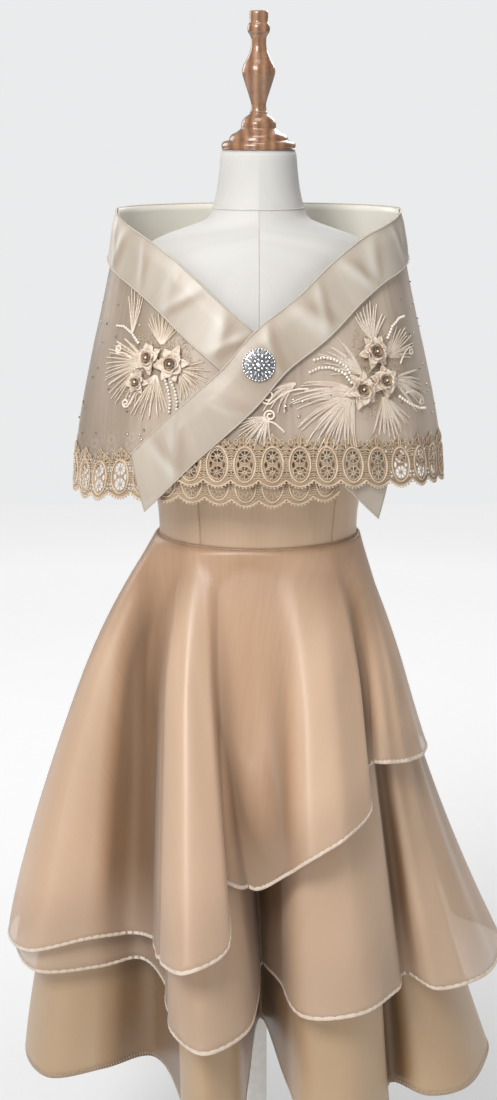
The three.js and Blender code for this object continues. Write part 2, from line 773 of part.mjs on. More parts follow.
const capBottom = formSections.at(-1).z + seamGap;
const finialBottom = 491;
add("dress_form", dressForm(), "linen");
add("neck_cap", lathe([
  [0, capBottom],
  [40, capBottom],
  [42.5, capBottom + 4],
  [40, capBottom + 8],
  [34, capBottom + 10],
  [33, capBottom + 13],
  [25, capBottom + 19],
  [20, capBottom + 23],
  [20, capBottom + 29],
  [16, capBottom + 35],
  [10, finialBottom - seamGap],
  [0, finialBottom - seamGap],
], 16), "wood");
add("finial", lathe([
  [0, finialBottom],
  [9.4, finialBottom],
  [8.6, finialBottom + 6],
  [9.4, finialBottom + 12],
  [12.5, finialBottom + 22],
  [16, finialBottom + 34],
  [18.8, finialBottom + 43],
  [18, finialBottom + 50],
  [13, finialBottom + 59],
  [9.5, finialBottom + 68],
  [8.5, finialBottom + 79],
  [12, finialBottom + 85],
  [12.5, finialBottom + 91],
  [10.4, finialBottom + 97],
  [10.2, finialBottom + 109],
  [0, finialBottom + 110],
], 14), "wood");

for (const panel of bodicePanels) add(panel.name, bodicePanel(panel), "satin");
add("waist_seam", waistSeam(), "satin");

const skirtLayers = [
  ["underskirt", underLayer, 6, satinWall, "satin"],
  ["middle_tier", middleLayer, 5, organzaWall, "organza"],
  ["top_tier", topLayer, 5, organzaWall, "organza"],
];
for (const [name, layer, rows, thickness, finish] of skirtLayers) {
  const [left, right] = layer.seams;
  add(`${name}_front`, skirtHalf(layer, left, right, rows, thickness), finish);
  add(`${name}_back`, skirtHalf(layer, right, 1, rows, thickness), finish);
}

const none = () => 0;
add("capelet_left", capeFront(lowerEdge, lowerHem, -sideAlong, 100, 19, none), "cape");
add("capelet_right", capeFront(upperEdge, upperHem, -96, sideAlong, 19, lapOut), "cape");
add("capelet_back", capeBack(), "cape");
add("band_left", capeBand(lowerEdge, 30, 1, none), "band");
add("band_right", capeBand(upperEdge, 30, 0, lapOut), "band");
add("band_back", backBand(), "band");
const laceRepeats = 22;
const laceLength = laceRepeats * lace.pitch;
const laceInner = laceLift - lace.wall;
const backSeam = fullGirth / 2 - seamGap;
add("lace_left", laceStrip(-backSeam, laceRepeats, lowerHem, () => laceInner), "lace");
add("lace_right", laceStrip(backSeam - laceLength, laceRepeats, upperHem, (along) => laceInner + lapOut(along)), "lace");
add("flowers_right", sewnFlowers(rightFlowers, lapOut), "blossom");
add("flowers_left", sewnFlowers(leftFlowers, none), "blossom");

const pin = add("brooch", lathe([
  [0, 0],
  [brooch.radius - 2, 0],
  [brooch.radius, 2],
  [brooch.radius - 1, 4],
  [brooch.radius * 0.66, 6],
  [brooch.radius * 0.6, brooch.depth - 1.5],
  [brooch.radius * 0.3, brooch.depth],
  [0, brooch.depth],
], 16), "silver");
const pinLift = bandLift + lapLift + brooch.clearance;
const seat = onCape(0, brooch.height, pinLift);
const outward = onCape(0, brooch.height, pinLift + brooch.depth).sub(seat).normalize();
pin.position.copy(seat);
pin.quaternion.setFromUnitVectors(new THREE.Vector3(0, 0, 1), outward);

export default part;
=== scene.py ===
# Looks of a tiered organza and satin dress with its wrapped capelet, on a limbless dress form
import math
import random

import bmesh
import bpy
import numpy as np
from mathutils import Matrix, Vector


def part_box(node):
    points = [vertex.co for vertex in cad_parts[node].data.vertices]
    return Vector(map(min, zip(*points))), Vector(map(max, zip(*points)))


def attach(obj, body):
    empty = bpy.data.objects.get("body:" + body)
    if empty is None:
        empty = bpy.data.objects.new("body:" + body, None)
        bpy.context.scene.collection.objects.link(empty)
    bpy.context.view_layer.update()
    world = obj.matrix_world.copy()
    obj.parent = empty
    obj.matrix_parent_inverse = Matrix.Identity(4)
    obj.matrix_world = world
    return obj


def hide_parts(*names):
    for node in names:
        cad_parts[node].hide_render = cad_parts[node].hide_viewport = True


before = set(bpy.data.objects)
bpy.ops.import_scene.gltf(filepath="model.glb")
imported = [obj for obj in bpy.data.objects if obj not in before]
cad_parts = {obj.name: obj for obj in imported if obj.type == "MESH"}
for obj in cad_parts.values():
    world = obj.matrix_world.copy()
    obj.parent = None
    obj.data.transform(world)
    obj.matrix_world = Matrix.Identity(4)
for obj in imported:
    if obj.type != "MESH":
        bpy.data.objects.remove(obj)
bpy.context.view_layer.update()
print("frame loaded")

mm = 0.001
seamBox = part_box("waist_seam")
waistHeight = (seamBox[0].z + seamBox[1].z) / 2 / mm  # heights below are in mm from the waist seam
dice = random.Random(11)


# Sizes and tables
def table(names, rows):
    return dict(zip(names.split(), np.array(rows, float).T))


def rowsOf(columns):  # each row of a table, by the names of its columns
    return [dict(zip(columns, row)) for row in zip(*columns.values())]


def between(rows, by, at, name):  # smooth value of one column at places along another
    xs = rows[by]
    ys = rows[name]
    last = len(xs) - 1
    before = np.maximum(np.arange(last + 1) - 1, 0)
    after = np.minimum(np.arange(last + 1) + 1, last)
    slope = (ys[after] - ys[before]) / (xs[after] - xs[before])
    at = np.clip(at, xs[0], xs[-1])
    i = np.clip(np.searchsorted(xs, at) - 1, 0, last - 1)
    span = xs[i + 1] - xs[i]
    t = (at - xs[i]) / span
    rise = t * t * (3 - 2 * t)
    bend = slope[i] * (1 - t) - slope[i + 1] * t
    return ys[i] * (1 - rise) + ys[i + 1] * rise + bend * span * t * (1 - t)


def smooth(t):
    t = np.clip(t, 0, 1)
    return t * t * (3 - 2 * t)


def centripetal(p, t):  # a smooth curve through four points, at share t from the second to the third
    gaps = [np.linalg.norm(p[k + 1] - p[k], axis=-1, keepdims=True) ** 0.5 for k in range(3)]
    first = (p[1] - p[0]) / gaps[0] - (p[2] - p[0]) / (gaps[0] + gaps[1]) + (p[2] - p[1]) / gaps[1]
    second = (p[2] - p[1]) / gaps[1] - (p[3] - p[1]) / (gaps[1] + gaps[2]) + (p[3] - p[2]) / gaps[2]
    first = first * gaps[1]
    second = second * gaps[1]
    square = -3 * p[1] + 3 * p[2] - 2 * first - second
    cube = 2 * p[1] - 2 * p[2] + first + second
    return p[1] + first * t + square * t * t + cube * t * t * t


def oval(half, front, back, angle, centre=0.0):
    depth = np.where(np.cos(angle) > 0, front, back)
    return half * np.sin(angle), centre - depth * np.cos(angle)


def unit(vectors):
    return vectors / np.maximum(np.linalg.norm(vectors, axis=-1, keepdims=True), 1e-9)


def inFrame(points):  # from mm round the waist to metres in the part's own frame
    return (np.asarray(points, float) + [0, 0, waistHeight]) * mm


# Shader maths
class Value:  # wraps a socket, so that sums on it add Math nodes
    def __init__(self, tree, socket):
        self.tree = tree
        self.socket = socket

    def joined(self, operation, first, second):
        node = self.tree.nodes.new("ShaderNodeMath")
        node.operation = operation
        for slot, item in zip(node.inputs, (first, second)):
            if isinstance(item, Value):
                self.tree.links.new(item.socket, slot)
            else:
                slot.default_value = item
        return Value(self.tree, node.outputs[0])

    def __add__(self, other):
        return self.joined("ADD", self, other)

    def __sub__(self, other):
        return self.joined("SUBTRACT", self, other)

    def __mul__(self, other):
        return self.joined("MULTIPLY", self, other)

    def __rsub__(self, other):
        return self.joined("SUBTRACT", other, self)

    __radd__ = __add__
    __rmul__ = __mul__


class Finish:  # one procedural material
    def __init__(self, name, **fixed):
        self.material = bpy.data.materials.new(name)
        self.material.use_nodes = True
        self.tree = self.material.node_tree
        self.shader = self.tree.nodes["Principled BSDF"]
        for label, value in fixed.items():
            self.shader.inputs[label.replace("_", " ")].default_value = value

    def node(self, kind, settings=None, values=None, out=0):
        made = self.tree.nodes.new(kind)
        for label, value in (settings or {}).items():
            if label == "stops":
                for i, (place, colour) in enumerate(value):
                    stop = made.color_ramp.elements[i] if i < 2 else made.color_ramp.elements.new(place)
                    stop.position = place
                    stop.color = (*colour, 1)
            else:
                setattr(made, label, value)
        for slot, value in (values or {}).items():
            if isinstance(value, Value):
                self.tree.links.new(value.socket, made.inputs[slot])
            else:
                made.inputs[slot].default_value = value
        return Value(self.tree, made.outputs[out])

    def place(self, kind="Object", scale=(1, 1, 1), turn=(0, 0, 0)):
        source = self.node("ShaderNodeTexCoord", out=kind)
        return self.node("ShaderNodeMapping", values={"Vector": source, "Scale": scale, "Rotation": turn})

    def noise(self, where, scale, detail=3.0, roughness=0.55):
        values = {"Vector": where, "Scale": scale, "Detail": detail, "Roughness": roughness}
        return self.node("ShaderNodeTexNoise", values=values, out="Fac")

    def bands(self, where, scale, direction, distortion):
        settings = {"wave_type": "BANDS", "bands_direction": direction}
        values = {"Vector": where, "Scale": scale, "Distortion": distortion}
        return self.node("ShaderNodeTexWave", settings, values, out="Fac")

    def mixed(self, share, first, second):
        tones = {6: first, 7: second, 0: share}
        tones = {k: (*v, 1) if isinstance(v, tuple) else v for k, v in tones.items()}
        return self.node("ShaderNodeMix", {"data_type": "RGBA"}, tones, out=2)

    def ranged(self, value, start, end, high=1.0):  # from 0 at the start to high at the end
        values = {"Value": value, "From Min": start, "From Max": end, "To Max": high}
        return self.node("ShaderNodeMapRange", values=values)

    def painted(self, label):  # a value that the mesh holds at each point
        return self.node("ShaderNodeAttribute", {"attribute_name": label}, out="Fac")

    def ramp(self, value, stops):
        return self.node("ShaderNodeValToRGB", {"stops": stops}, {"Fac": value})

    def feed(self, label, value):
        self.tree.links.new(value.socket, self.shader.inputs[label])

    def bump(self, height, distance, strength=1.0):
        values = {"Height": height, "Distance": distance, "Strength": strength}
        self.feed("Normal", self.node("ShaderNodeBump", values=values, out="Normal"))


def weave(finish, pitch):  # height of a plain weave on the cloth's own UV map, whose unit is a metre
    where = finish.place("UV")
    threads = math.pi / 20 / pitch  # a wave texture at scale 1 has 20 bands in every pi metres
    warp = finish.bands(where, threads, "X", 0.4)
    weft = finish.bands(where, threads, "Y", 0.4)
    return warp * 0.5 + weft * 0.5


def smoothMix(finish, value):
    settings = {"interpolation_type": "SMOOTHSTEP"}
    return finish.node("ShaderNodeMapRange", settings, {"Value": value, "From Min": 0.3, "From Max": 0.7})


def clothFinish(name, spec):
    finish = Finish(name, **spec["fixed"])
    broad = finish.noise(finish.place("UV", scale=(1, 0.3, 1)), spec["patch"], 2.0)
    slub = finish.noise(finish.place("UV", scale=(1, 0.06, 1)), spec["slub"], 3.0, 0.6)
    # random tone in broad soft streaks down the cloth, which on the silks also stands in for sheen as a
    # painted highlight
    tone = smoothMix(finish, broad * 0.82 + slub * 0.18)
    colour = finish.mixed(tone, spec["dark"], spec["light"])
    if "folds" in spec:  # painted shade in the hollows and painted highlight on the ridges
        deep, highlightTone = spec["folds"]
        fold = finish.painted("fold")
        hollow = finish.ranged(fold, 0.5, 1.0, 0.8)
        highlightShare = finish.ranged(fold, 0.5, 0.0, 0.6)
        colour = finish.mixed(highlightShare, finish.mixed(hollow, colour, deep), highlightTone)
    alpha = None
    if "veil" in spec:
        thin, dense = spec["veil"]
        alpha = broad * (dense - thin) + thin
    if "hem" in spec:  # a single layer of cloth near the hem
        single = finish.painted("hem")
        colour = finish.mixed(single * 0.55, colour, spec["hem"])
        alpha = alpha - single * 0.2
    if "collar" in spec:  # the folded top, where the cloth lies double, made paler both for its doubled cloth and as painted light on its shaded inside
        deep = finish.node("ShaderNodeSeparateXYZ", values={"Vector": finish.place("UV")}, out="Y")
        edge = -spec["collarWidth"]
        folded = finish.ranged(deep, edge - 0.0005, edge + 0.0005)
        colour = finish.mixed(folded, colour, spec["collar"])
        alpha = alpha + folded * 0.2
    finish.feed("Base Color", colour)
    if alpha is not None:
        finish.feed("Alpha", alpha)
    low, high = spec["roughness"]
    finish.feed("Roughness", broad * (high - low) + low)
    cloth = weave(finish, spec["pitch"])
    finish.bump(cloth * spec["threads"] + slub * (1 - spec["threads"]), spec["depth"], 0.5)
    return finish.material


clothLooks = {
    # the underskirt's golden satin, made darker as painted shade beneath the tiers
    "shadedSkirtSatin": {"dark": (0.30, 0.175, 0.085), "light": (0.40, 0.25, 0.13), "patch": 5.0, "slub": 300.0,
                   "roughness": (0.34, 0.43), "pitch": 0.0006, "threads": 0.8, "depth": 0.00006,
                   "folds": ((0.16, 0.09, 0.04), (0.60, 0.43, 0.27)),
                   "fixed": {"Sheen_Weight": 0.1, "Anisotropic": 0.6, "Specular_IOR_Level": 0.65}},
    "bodiceSatin": {"dark": (0.46, 0.305, 0.19), "light": (0.58, 0.405, 0.265), "patch": 8.0, "slub": 320.0,
                    "roughness": (0.34, 0.44), "pitch": 0.0006, "threads": 0.8, "depth": 0.00006,
                    "fixed": {"Sheen_Weight": 0.1, "Anisotropic": 0.5, "Specular_IOR_Level": 0.65}},
    "organza": {"dark": (0.49, 0.29, 0.165), "light": (0.69, 0.44, 0.28), "patch": 5.0, "slub": 220.0,
                "roughness": (0.34, 0.44), "pitch": 0.0009, "threads": 0.85, "depth": 0.00008,
                "veil": (0.68, 0.82), "hem": (0.62, 0.46, 0.33),
                "folds": ((0.20, 0.11, 0.055), (0.86, 0.63, 0.45)),
                "fixed": {"Sheen_Weight": 0.3, "Sheen_Roughness": 0.35, "Anisotropic": 0.6,
                          "Specular_IOR_Level": 0.7}},
    "capeOrganza": {"dark": (0.34, 0.26, 0.19), "light": (0.68, 0.56, 0.45), "patch": 9.0, "slub": 200.0,
                    "roughness": (0.28, 0.42), "pitch": 0.0011, "threads": 0.85, "depth": 0.0001,
                    "veil": (0.60, 0.78),
                    "fixed": {"Sheen_Weight": 0.3, "Sheen_Roughness": 0.4, "Specular_IOR_Level": 0.7}},
    "bandOrganza": {"dark": (0.49, 0.41, 0.325), "light": (0.64, 0.565, 0.47), "patch": 11.0, "slub": 180.0,
                    "roughness": (0.34, 0.44), "pitch": 0.0010, "threads": 0.85, "depth": 0.00008,
                    "veil": (0.70, 0.86), "folds": ((0.44, 0.33, 0.245), (0.80, 0.76, 0.70)),
                    "fixed": {"Sheen_Weight": 0.3, "Sheen_Roughness": 0.3, "Specular_IOR_Level": 0.7}},
    "formLinen": {"dark": (0.55, 0.535, 0.51), "light": (0.62, 0.605, 0.58), "patch": 9.0, "slub": 260.0,
                  "roughness": (0.80, 0.94), "pitch": 0.0011, "threads": 0.75, "depth": 0.0002,
                  "fixed": {"Sheen_Weight": 0.1}},
    "zipTape": {"dark": (0.30, 0.22, 0.155), "light": (0.37, 0.28, 0.20), "patch": 20.0, "slub": 300.0,
                "roughness": (0.6, 0.75), "pitch": 0.0008, "threads": 0.7, "depth": 0.0002, "fixed": {}},
}
# painted shade: the middle tier's organza is the top tier's made darker, as it hangs lower and under the top
# tier
clothLooks["shadedMiddleOrganza"] = {**clothLooks["organza"],
                               "dark": (0.32, 0.19, 0.105), "light": (0.46, 0.29, 0.175)}
# the back's folded collar: paler for its doubled cloth, and paler again as painted light on its shaded inside
clothLooks["capeBackOrganza"] = {**clothLooks["capeOrganza"],
                                 "collar": (0.86, 0.835, 0.74), "collarWidth": 0.055}


def threadFinish(name, dark, light, roughness, coarse):  # lace cord, satin stitch and braid
    finish = Finish(name, Roughness=roughness, Sheen_Weight=0.3)
    where = finish.place()
    tone = finish.noise(where, 55.0, 3.0)
    twist = finish.bands(finish.place(turn=(0.6, 0.7, 0.8)), coarse, "X", 2.5)
    finish.feed("Base Color", finish.mixed(smoothMix(finish, tone * 0.7 + twist * 0.3), dark, light))
    finish.bump(twist, 0.0002, 0.5)
    return finish.material


def woodFinish():
    finish = Finish("turnedWood", Coat_Weight=0.7, Coat_Roughness=0.12)
    where = finish.place(scale=(1, 1, 0.16), turn=(0.05, 0.04, 0))
    grain = finish.bands(where, 30.0, "X", 3.0)
    fine = finish.noise(finish.place(scale=(1, 1, 0.05)), 500.0, 4.0, 0.65)
    tone = grain * 0.35 + fine * 0.65
    stops = [(0.2, (0.15, 0.068, 0.035)), (0.8, (0.42, 0.225, 0.115)), (0.5, (0.27, 0.13, 0.065))]
    finish.feed("Base Color", finish.ramp(tone, stops))
    finish.feed("Roughness", fine * 0.15 + 0.27)
    finish.bump(fine, 0.00015, 0.4)
    return finish.material


def enamelFinish():
    finish = Finish("whiteEnamel", Coat_Weight=0.4, Coat_Roughness=0.15)
    speck = finish.noise(finish.place(), 90.0, 4.0)
    finish.feed("Base Color", finish.mixed(smoothMix(finish, speck), (0.78, 0.76, 0.72), (0.84, 0.83, 0.80)))
    finish.feed("Roughness", speck * 0.2 + 0.25)
    finish.bump(finish.noise(finish.place(), 600.0, 2.0), 0.00008, 0.5)
    return finish.material


def shineFinish(name, tone, second, roughness, metallic, grain):  # pearls, stones and plated metal
    finish = Finish(name, Metallic=metallic, Coat_Weight=0.6, Coat_Roughness=0.05)
    mottle = finish.noise(finish.place(), grain, 2.0)
    finish.feed("Base Color", finish.mixed(smoothMix(finish, mottle), tone, second))
    finish.feed("Roughness", mottle * 0.08 + roughness)
    return finish.material


looks = {name: clothFinish(name, spec) for name, spec in clothLooks.items()}
looks["wood"] = woodFinish()
looks["enamel"] = enamelFinish()
looks["laceCord"] = threadFinish("laceCord", (0.58, 0.43, 0.29), (0.80, 0.64, 0.46), 0.45, 900.0)
looks["laceNet"] = threadFinish("laceNet", (0.35, 0.24, 0.15), (0.52, 0.38, 0.25), 0.6, 1200.0)
looks["stitch"] = threadFinish("stitch", (0.80, 0.64, 0.50), (0.98, 0.88, 0.76), 0.34, 1300.0)
looks["goldStitch"] = threadFinish("goldStitch", (0.52, 0.37, 0.22), (0.78, 0.63, 0.45), 0.34, 1300.0)
looks["petal"] = threadFinish("petal", (0.60, 0.45, 0.33), (0.90, 0.79, 0.66), 0.36, 260.0)
looks["roseHeart"] = threadFinish("roseHeart", (0.20, 0.115, 0.06), (0.50, 0.34, 0.20), 0.35, 700.0)
looks["braid"] = threadFinish("braid", (0.70, 0.55, 0.43), (0.86, 0.72, 0.59), 0.4, 1100.0)
looks["formSeam"] = threadFinish("formSeam", (0.55, 0.53, 0.50), (0.68, 0.66, 0.62), 0.85, 1000.0)
looks["pearl"] = shineFinish("pearl", (0.80, 0.73, 0.62), (0.90, 0.85, 0.76), 0.18, 0.0, 500.0)
looks["stone"] = shineFinish("stone", (0.72, 0.74, 0.78), (0.95, 0.95, 0.97), 0.04, 0.85, 2500.0)
looks["smokyStone"] = shineFinish("smokyStone", (0.25, 0.20, 0.15), (0.60, 0.52, 0.42), 0.05, 0.8, 2500.0)
looks["setting"] = shineFinish("setting", (0.24, 0.24, 0.25), (0.40, 0.40, 0.41), 0.25, 1.0, 400.0)
looks["silver"] = shineFinish("silver", (0.62, 0.62, 0.63), (0.75, 0.75, 0.76), 0.16, 1.0, 300.0)
print("finishes made")


# Mesh makers
def meshObject(name, points, faces, material, corners=None):
    mesh = bpy.data.meshes.new(name)
    mesh.from_pydata(inFrame(points).tolist(), [], [list(map(int, face)) for face in faces])
    if corners is not None:
        mesh.uv_layers.new(name="cloth").data.foreach_set("uv", np.asarray(corners, float).ravel())
    mesh.polygons.foreach_set("use_smooth", [True] * len(mesh.polygons))
    mesh.materials.append(material)
    mesh.update()
    piece = bpy.data.objects.new(name, mesh)
    bpy.context.scene.collection.objects.link(piece)
    return piece


def quadCorners(rows):  # the four corners of every face of a grid
    return [rows[:-1, :-1], rows[1:, :-1], rows[1:, 1:], rows[:-1, 1:]]


def gridFaces(rows, columns, ring=False):
    index = np.arange(rows * columns).reshape(rows, columns)
    if ring:
        index = np.concatenate([index, index[:, :1]], axis=1)
    return np.stack(quadCorners(index), axis=-1).reshape(-1, 4)


def clothUv(grid, ring):  # thread scale stays even from the waist to the hem
    closed = np.concatenate([grid, grid[:, :1]], axis=1) if ring else grid
    steps = np.linalg.norm(np.diff(closed, axis=1), axis=2).sum(axis=1)
    share = np.linspace(-0.5, 0.5, closed.shape[1])
    downs = np.linalg.norm(np.diff(grid, axis=0), axis=2).mean(axis=1)
    deep = np.concatenate([[0], np.cumsum(downs)])
    across = share[None, :] * steps[:, None]
    flat = np.stack([across, np.broadcast_to(-deep[:, None], across.shape)], axis=-1) * mm
    return np.stack(quadCorners(flat), axis=-2).reshape(-1, 2)


def gridPiece(name, grid, material, thickness=0.0, ring=False):
    rows, columns = grid.shape[:2]
    faces = gridFaces(rows, columns, ring)
    piece = meshObject(name, grid.reshape(-1, 3), faces, material, clothUv(grid, ring))
    if thickness:
        wall = piece.modifiers.new("thickness", "SOLIDIFY")
        wall.thickness = thickness * mm
        wall.offset = -1
    return piece


def gridNormals(grid, ring=False):  # rows run down and columns anticlockwise as seen from above
    across = np.roll(grid, -1, 1) - np.roll(grid, 1, 1) if ring else np.gradient(grid, axis=1)
    return unit(np.cross(np.gradient(grid, axis=0), across))


def lathe(name, profile, material, segments, steps):  # smooth through (radius, height), steps in each stretch
    rows = table("place r z", [(i, r, z) for i, (r, z) in enumerate(profile)])
    places = np.linspace(0, len(profile) - 1, (len(profile) - 1) * steps + 1)
    turned = np.radians(np.arange(segments) * 360 / segments)
    radius = np.maximum(between(rows, "place", places, "r"), 0)
    height = between(rows, "place", places, "z")
    grid = np.stack([radius[:, None] * np.sin(turned), -radius[:, None] * np.cos(turned),
                     np.repeat(height[:, None], segments, 1)], axis=-1)
    return joinedEnds(gridPiece(name, grid, material, ring=True))


def reworked(piece, change):
    work = bmesh.new()
    work.from_mesh(piece.data)
    change(work)
    work.to_mesh(piece.data)
    work.free()
    return piece


def joinedEnds(piece):  # closes the poles, where a whole row meets in one point
    return reworked(piece, lambda work: bmesh.ops.remove_doubles(work, verts=work.verts, dist=1e-6))


def rightWayOut(piece):
    return reworked(piece, lambda work: bmesh.ops.recalc_face_normals(work, faces=work.faces))


def sweep(name, path, side, out, halfSide, halfOut, material, sides=10):  # oval section on a closed path
    turned = np.arange(sides) * 2 * math.pi / sides
    grid = (path[:, None, :] + side[:, None, :] * (halfSide * np.cos(turned))[None, :, None]
            + out[:, None, :] * (halfOut * np.sin(turned))[None, :, None])
    index = np.pad(np.arange(len(path) * sides).reshape(-1, sides), ((0, 1), (0, 1)), mode="wrap")
    a, b, c, d = quadCorners(index)
    faces = np.stack([a, d, c, b], axis=-1).reshape(-1, 4)
    return rightWayOut(meshObject(name, grid.reshape(-1, 3), faces, material))


# Geometry Nodes
def nodeTree(name, inputs):
    tree = bpy.data.node_groups.new(name, "GeometryNodeTree")
    tree.interface.new_socket("Geometry", in_out="INPUT", socket_type="NodeSocketGeometry")
    for label, kind, value in inputs:
        socket = tree.interface.new_socket(label, in_out="INPUT", socket_type="NodeSocket" + kind)
        if value is not None:
            socket.default_value = value
    tree.interface.new_socket("Geometry", in_out="OUTPUT", socket_type="NodeSocketGeometry")
    given = tree.nodes.new("NodeGroupInput")
    result = tree.nodes.new("NodeGroupOutput")

    def step(kind, settings=None, **values):
        made = tree.nodes.new(kind)
        for label, value in (settings or {}).items():
            setattr(made, label, value)
        for label, value in values.items():
            slot = made.inputs[label.replace("_", " ")]
            if isinstance(value, bpy.types.NodeSocket):
                tree.links.new(value, slot)
            else:
                slot.default_value = value
        return made

    def finish(geometry):
        sockets = given.outputs
        real = step("GeometryNodeRealizeInstances", Geometry=geometry)
        shade = step("GeometryNodeSetShadeSmooth", Geometry=real.outputs[0], Shade_Smooth=sockets["Smooth"])
        coat = step("GeometryNodeSetMaterial", Geometry=shade.outputs[0], Material=sockets["Finish"])
        tree.links.new(coat.outputs[0], result.inputs[0])

    return tree, given.outputs, step, finish


def namedValue(step, name, kind="FLOAT_VECTOR"):
    return step("GeometryNodeInputNamedAttribute", {"data_type": kind}, Name=name).outputs["Attribute"]


def repeated(step, given, shape):  # copies along a line
    stepping = step("ShaderNodeCombineXYZ", X=given["Pitch"])
    line = step("GeometryNodeMeshLine", Count=given["Repeats"], Offset=stepping.outputs[0])
    return step("GeometryNodeInstanceOnPoints", Points=line.outputs[0], Instance=shape).outputs[0]


def beadTree():  # a bead, stone or stitch on every point, lying on the cloth along its own course
    sizes = [("Width", "Float", 3.0), ("Length", "Float", 3.0), ("Height", "Float", 3.0),
             ("Segments", "Int", 8), ("Rings", "Int", 6), ("Smooth", "Bool", True),
             ("Finish", "Material", None)]
    tree, given, step, finish = nodeTree("beads", sizes)
    ball = step("GeometryNodeMeshUVSphere", Segments=given["Segments"], Rings=given["Rings"], Radius=0.5)
    size = step("ShaderNodeCombineXYZ", X=given["Width"], Y=given["Length"], Z=given["Height"])
    shaped = step("GeometryNodeTransform", Geometry=ball.outputs[0], Scale=size.outputs[0])
    turned = step("FunctionNodeAxesToRotation", {"primary_axis": "Z", "secondary_axis": "Y"})
    tree.links.new(namedValue(step, "out"), turned.inputs[0])
    tree.links.new(namedValue(step, "course"), turned.inputs[1])
    placed = step("GeometryNodeInstanceOnPoints", Points=given["Geometry"], Instance=shaped.outputs[0],
                  Rotation=turned.outputs[0], Scale=namedValue(step, "size", "FLOAT"))
    finish(placed.outputs[0])
    return tree


def cordTree():  # round cords along chains of edges, and the whole repeated along a line
    sizes = [("Thickness", "Float", 1.0), ("Sides", "Int", 5), ("Repeats", "Int", 1), ("Pitch", "Float", 0.0),
             ("Smooth", "Bool", True), ("Finish", "Material", None)]
    tree, given, step, finish = nodeTree("cords", sizes)
    chains = step("GeometryNodeMeshToCurve", Mesh=given["Geometry"])
    size = namedValue(step, "size", "FLOAT")
    sized = step("GeometryNodeSetCurveRadius", Curve=chains.outputs[0], Radius=size)
    half = step("ShaderNodeMath", {"operation": "MULTIPLY"})
    tree.links.new(given["Thickness"], half.inputs[0])
    half.inputs[1].default_value = 0.5
    section = step("GeometryNodeCurvePrimitiveCircle", {"mode": "RADIUS"}, Resolution=given["Sides"],
                   Radius=half.outputs[0])
    cords = step("GeometryNodeCurveToMesh", Curve=sized.outputs[0], Profile_Curve=section.outputs[0],
                 Fill_Caps=True)
    finish(repeated(step, given, cords.outputs[0]))
    return tree


def netTree():  # flat cloth inside closed outlines, with the inner ones cut out, repeated along a line
    sizes = [("Repeats", "Int", 1), ("Pitch", "Float", 1.0), ("Smooth", "Bool", False),
             ("Finish", "Material", None)]
    tree, given, step, finish = nodeTree("net", sizes)
    outlines = step("GeometryNodeMeshToCurve", Mesh=given["Geometry"])
    filled = step("GeometryNodeFillCurve", Curve=outlines.outputs[0])
    finish(repeated(step, given, filled.outputs[0]))
    return tree


def grown(name, source, tree, values):  # the tree's result as a plain mesh
    modifier = source.modifiers.new("grow", "NODES")
    modifier.node_group = tree
    for item in tree.interface.items_tree:
        if item.in_out == "INPUT" and item.name in values:
            modifier[item.identifier] = values[item.name]
    done = source.evaluated_get(bpy.context.evaluated_depsgraph_get())
    mesh = bpy.data.meshes.new_from_object(done)
    source.modifiers.remove(modifier)
    bpy.data.objects.remove(source)
    mesh.name = name
    piece = bpy.data.objects.new(name, mesh)
    bpy.context.scene.collection.objects.link(piece)
    return piece


def pointSource(points, edges, attributes):
    mesh = bpy.data.meshes.new("source")
    mesh.from_pydata(np.asarray(points, float).tolist(), edges, [])
    for label, values in attributes.items():
        values = np.asarray(values, float)
        kind, field = ("FLOAT_VECTOR", "vector") if values.ndim == 2 else ("FLOAT", "value")
        mesh.attributes.new(label, kind, "POINT").data.foreach_set(field, values.ravel())
    source = bpy.data.objects.new("source", mesh)
    bpy.context.scene.collection.objects.link(source)
    return source


trees = {"beads": beadTree(), "cords": cordTree(), "net": netTree()}


def beads(name, spots, shape, material):  # spots: rows of place, outward direction, course and size
    places, outs, courses, sizes = (np.array([spot[i] for spot in spots], float) for i in range(4))
    source = pointSource(inFrame(places), [], {"out": outs, "course": courses, "size": sizes * mm})
    labels = ("Width", "Length", "Height", "Segments", "Rings", "Smooth")
    return grown(name, source, trees["beads"], {**dict(zip(labels, shape)), "Finish": material})


def chained(lines, closed):
    edges = []
    start = 0
    for line in lines:
        count = len(line)
        edges += [(start + i, start + (i + 1) % count) for i in range(count if closed else count - 1)]
        start += count
    return np.concatenate(lines), edges


def chainSource(lines, sizes):
    return pointSource(*chained(lines, False), {"size": np.concatenate(sizes)})


def tubes(name, lines, thickness, material, taper=None, sides=6):  # cords through points round the waist
    taper = taper or (lambda t: np.ones_like(t))
    sizes = [taper(np.linspace(0, 1, len(line))) for line in lines]
    source = chainSource([inFrame(line) for line in lines], sizes)
    values = {"Thickness": thickness * mm, "Sides": sides, "Repeats": 1, "Smooth": True, "Finish": material}
    return grown(name, source, trees["cords"], values)


def settle(piece, slot, *nodes):
    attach(piece, "root")
    if nodes:
        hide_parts(*nodes)
    return piece


def sewn(piece, grid):  # the cut's size is that of the cloth's own surface
    across = np.linalg.norm(np.diff(grid, axis=1), axis=2).sum(axis=1).max() * mm
    down = np.linalg.norm(np.diff(grid, axis=0), axis=2).sum(axis=0).max() * mm
    sides = [np.diff(grid, axis=0)[:, :-1], np.diff(grid, axis=1)[:-1]]
    area = np.linalg.norm(np.cross(*sides), axis=2).sum() * mm * mm
    area = float(np.clip(area, 0.301 * across * down, across * down))
    print(f"sheet {piece.name}: {across:.3f} x {down:.3f} m, {area:.4f} m2")


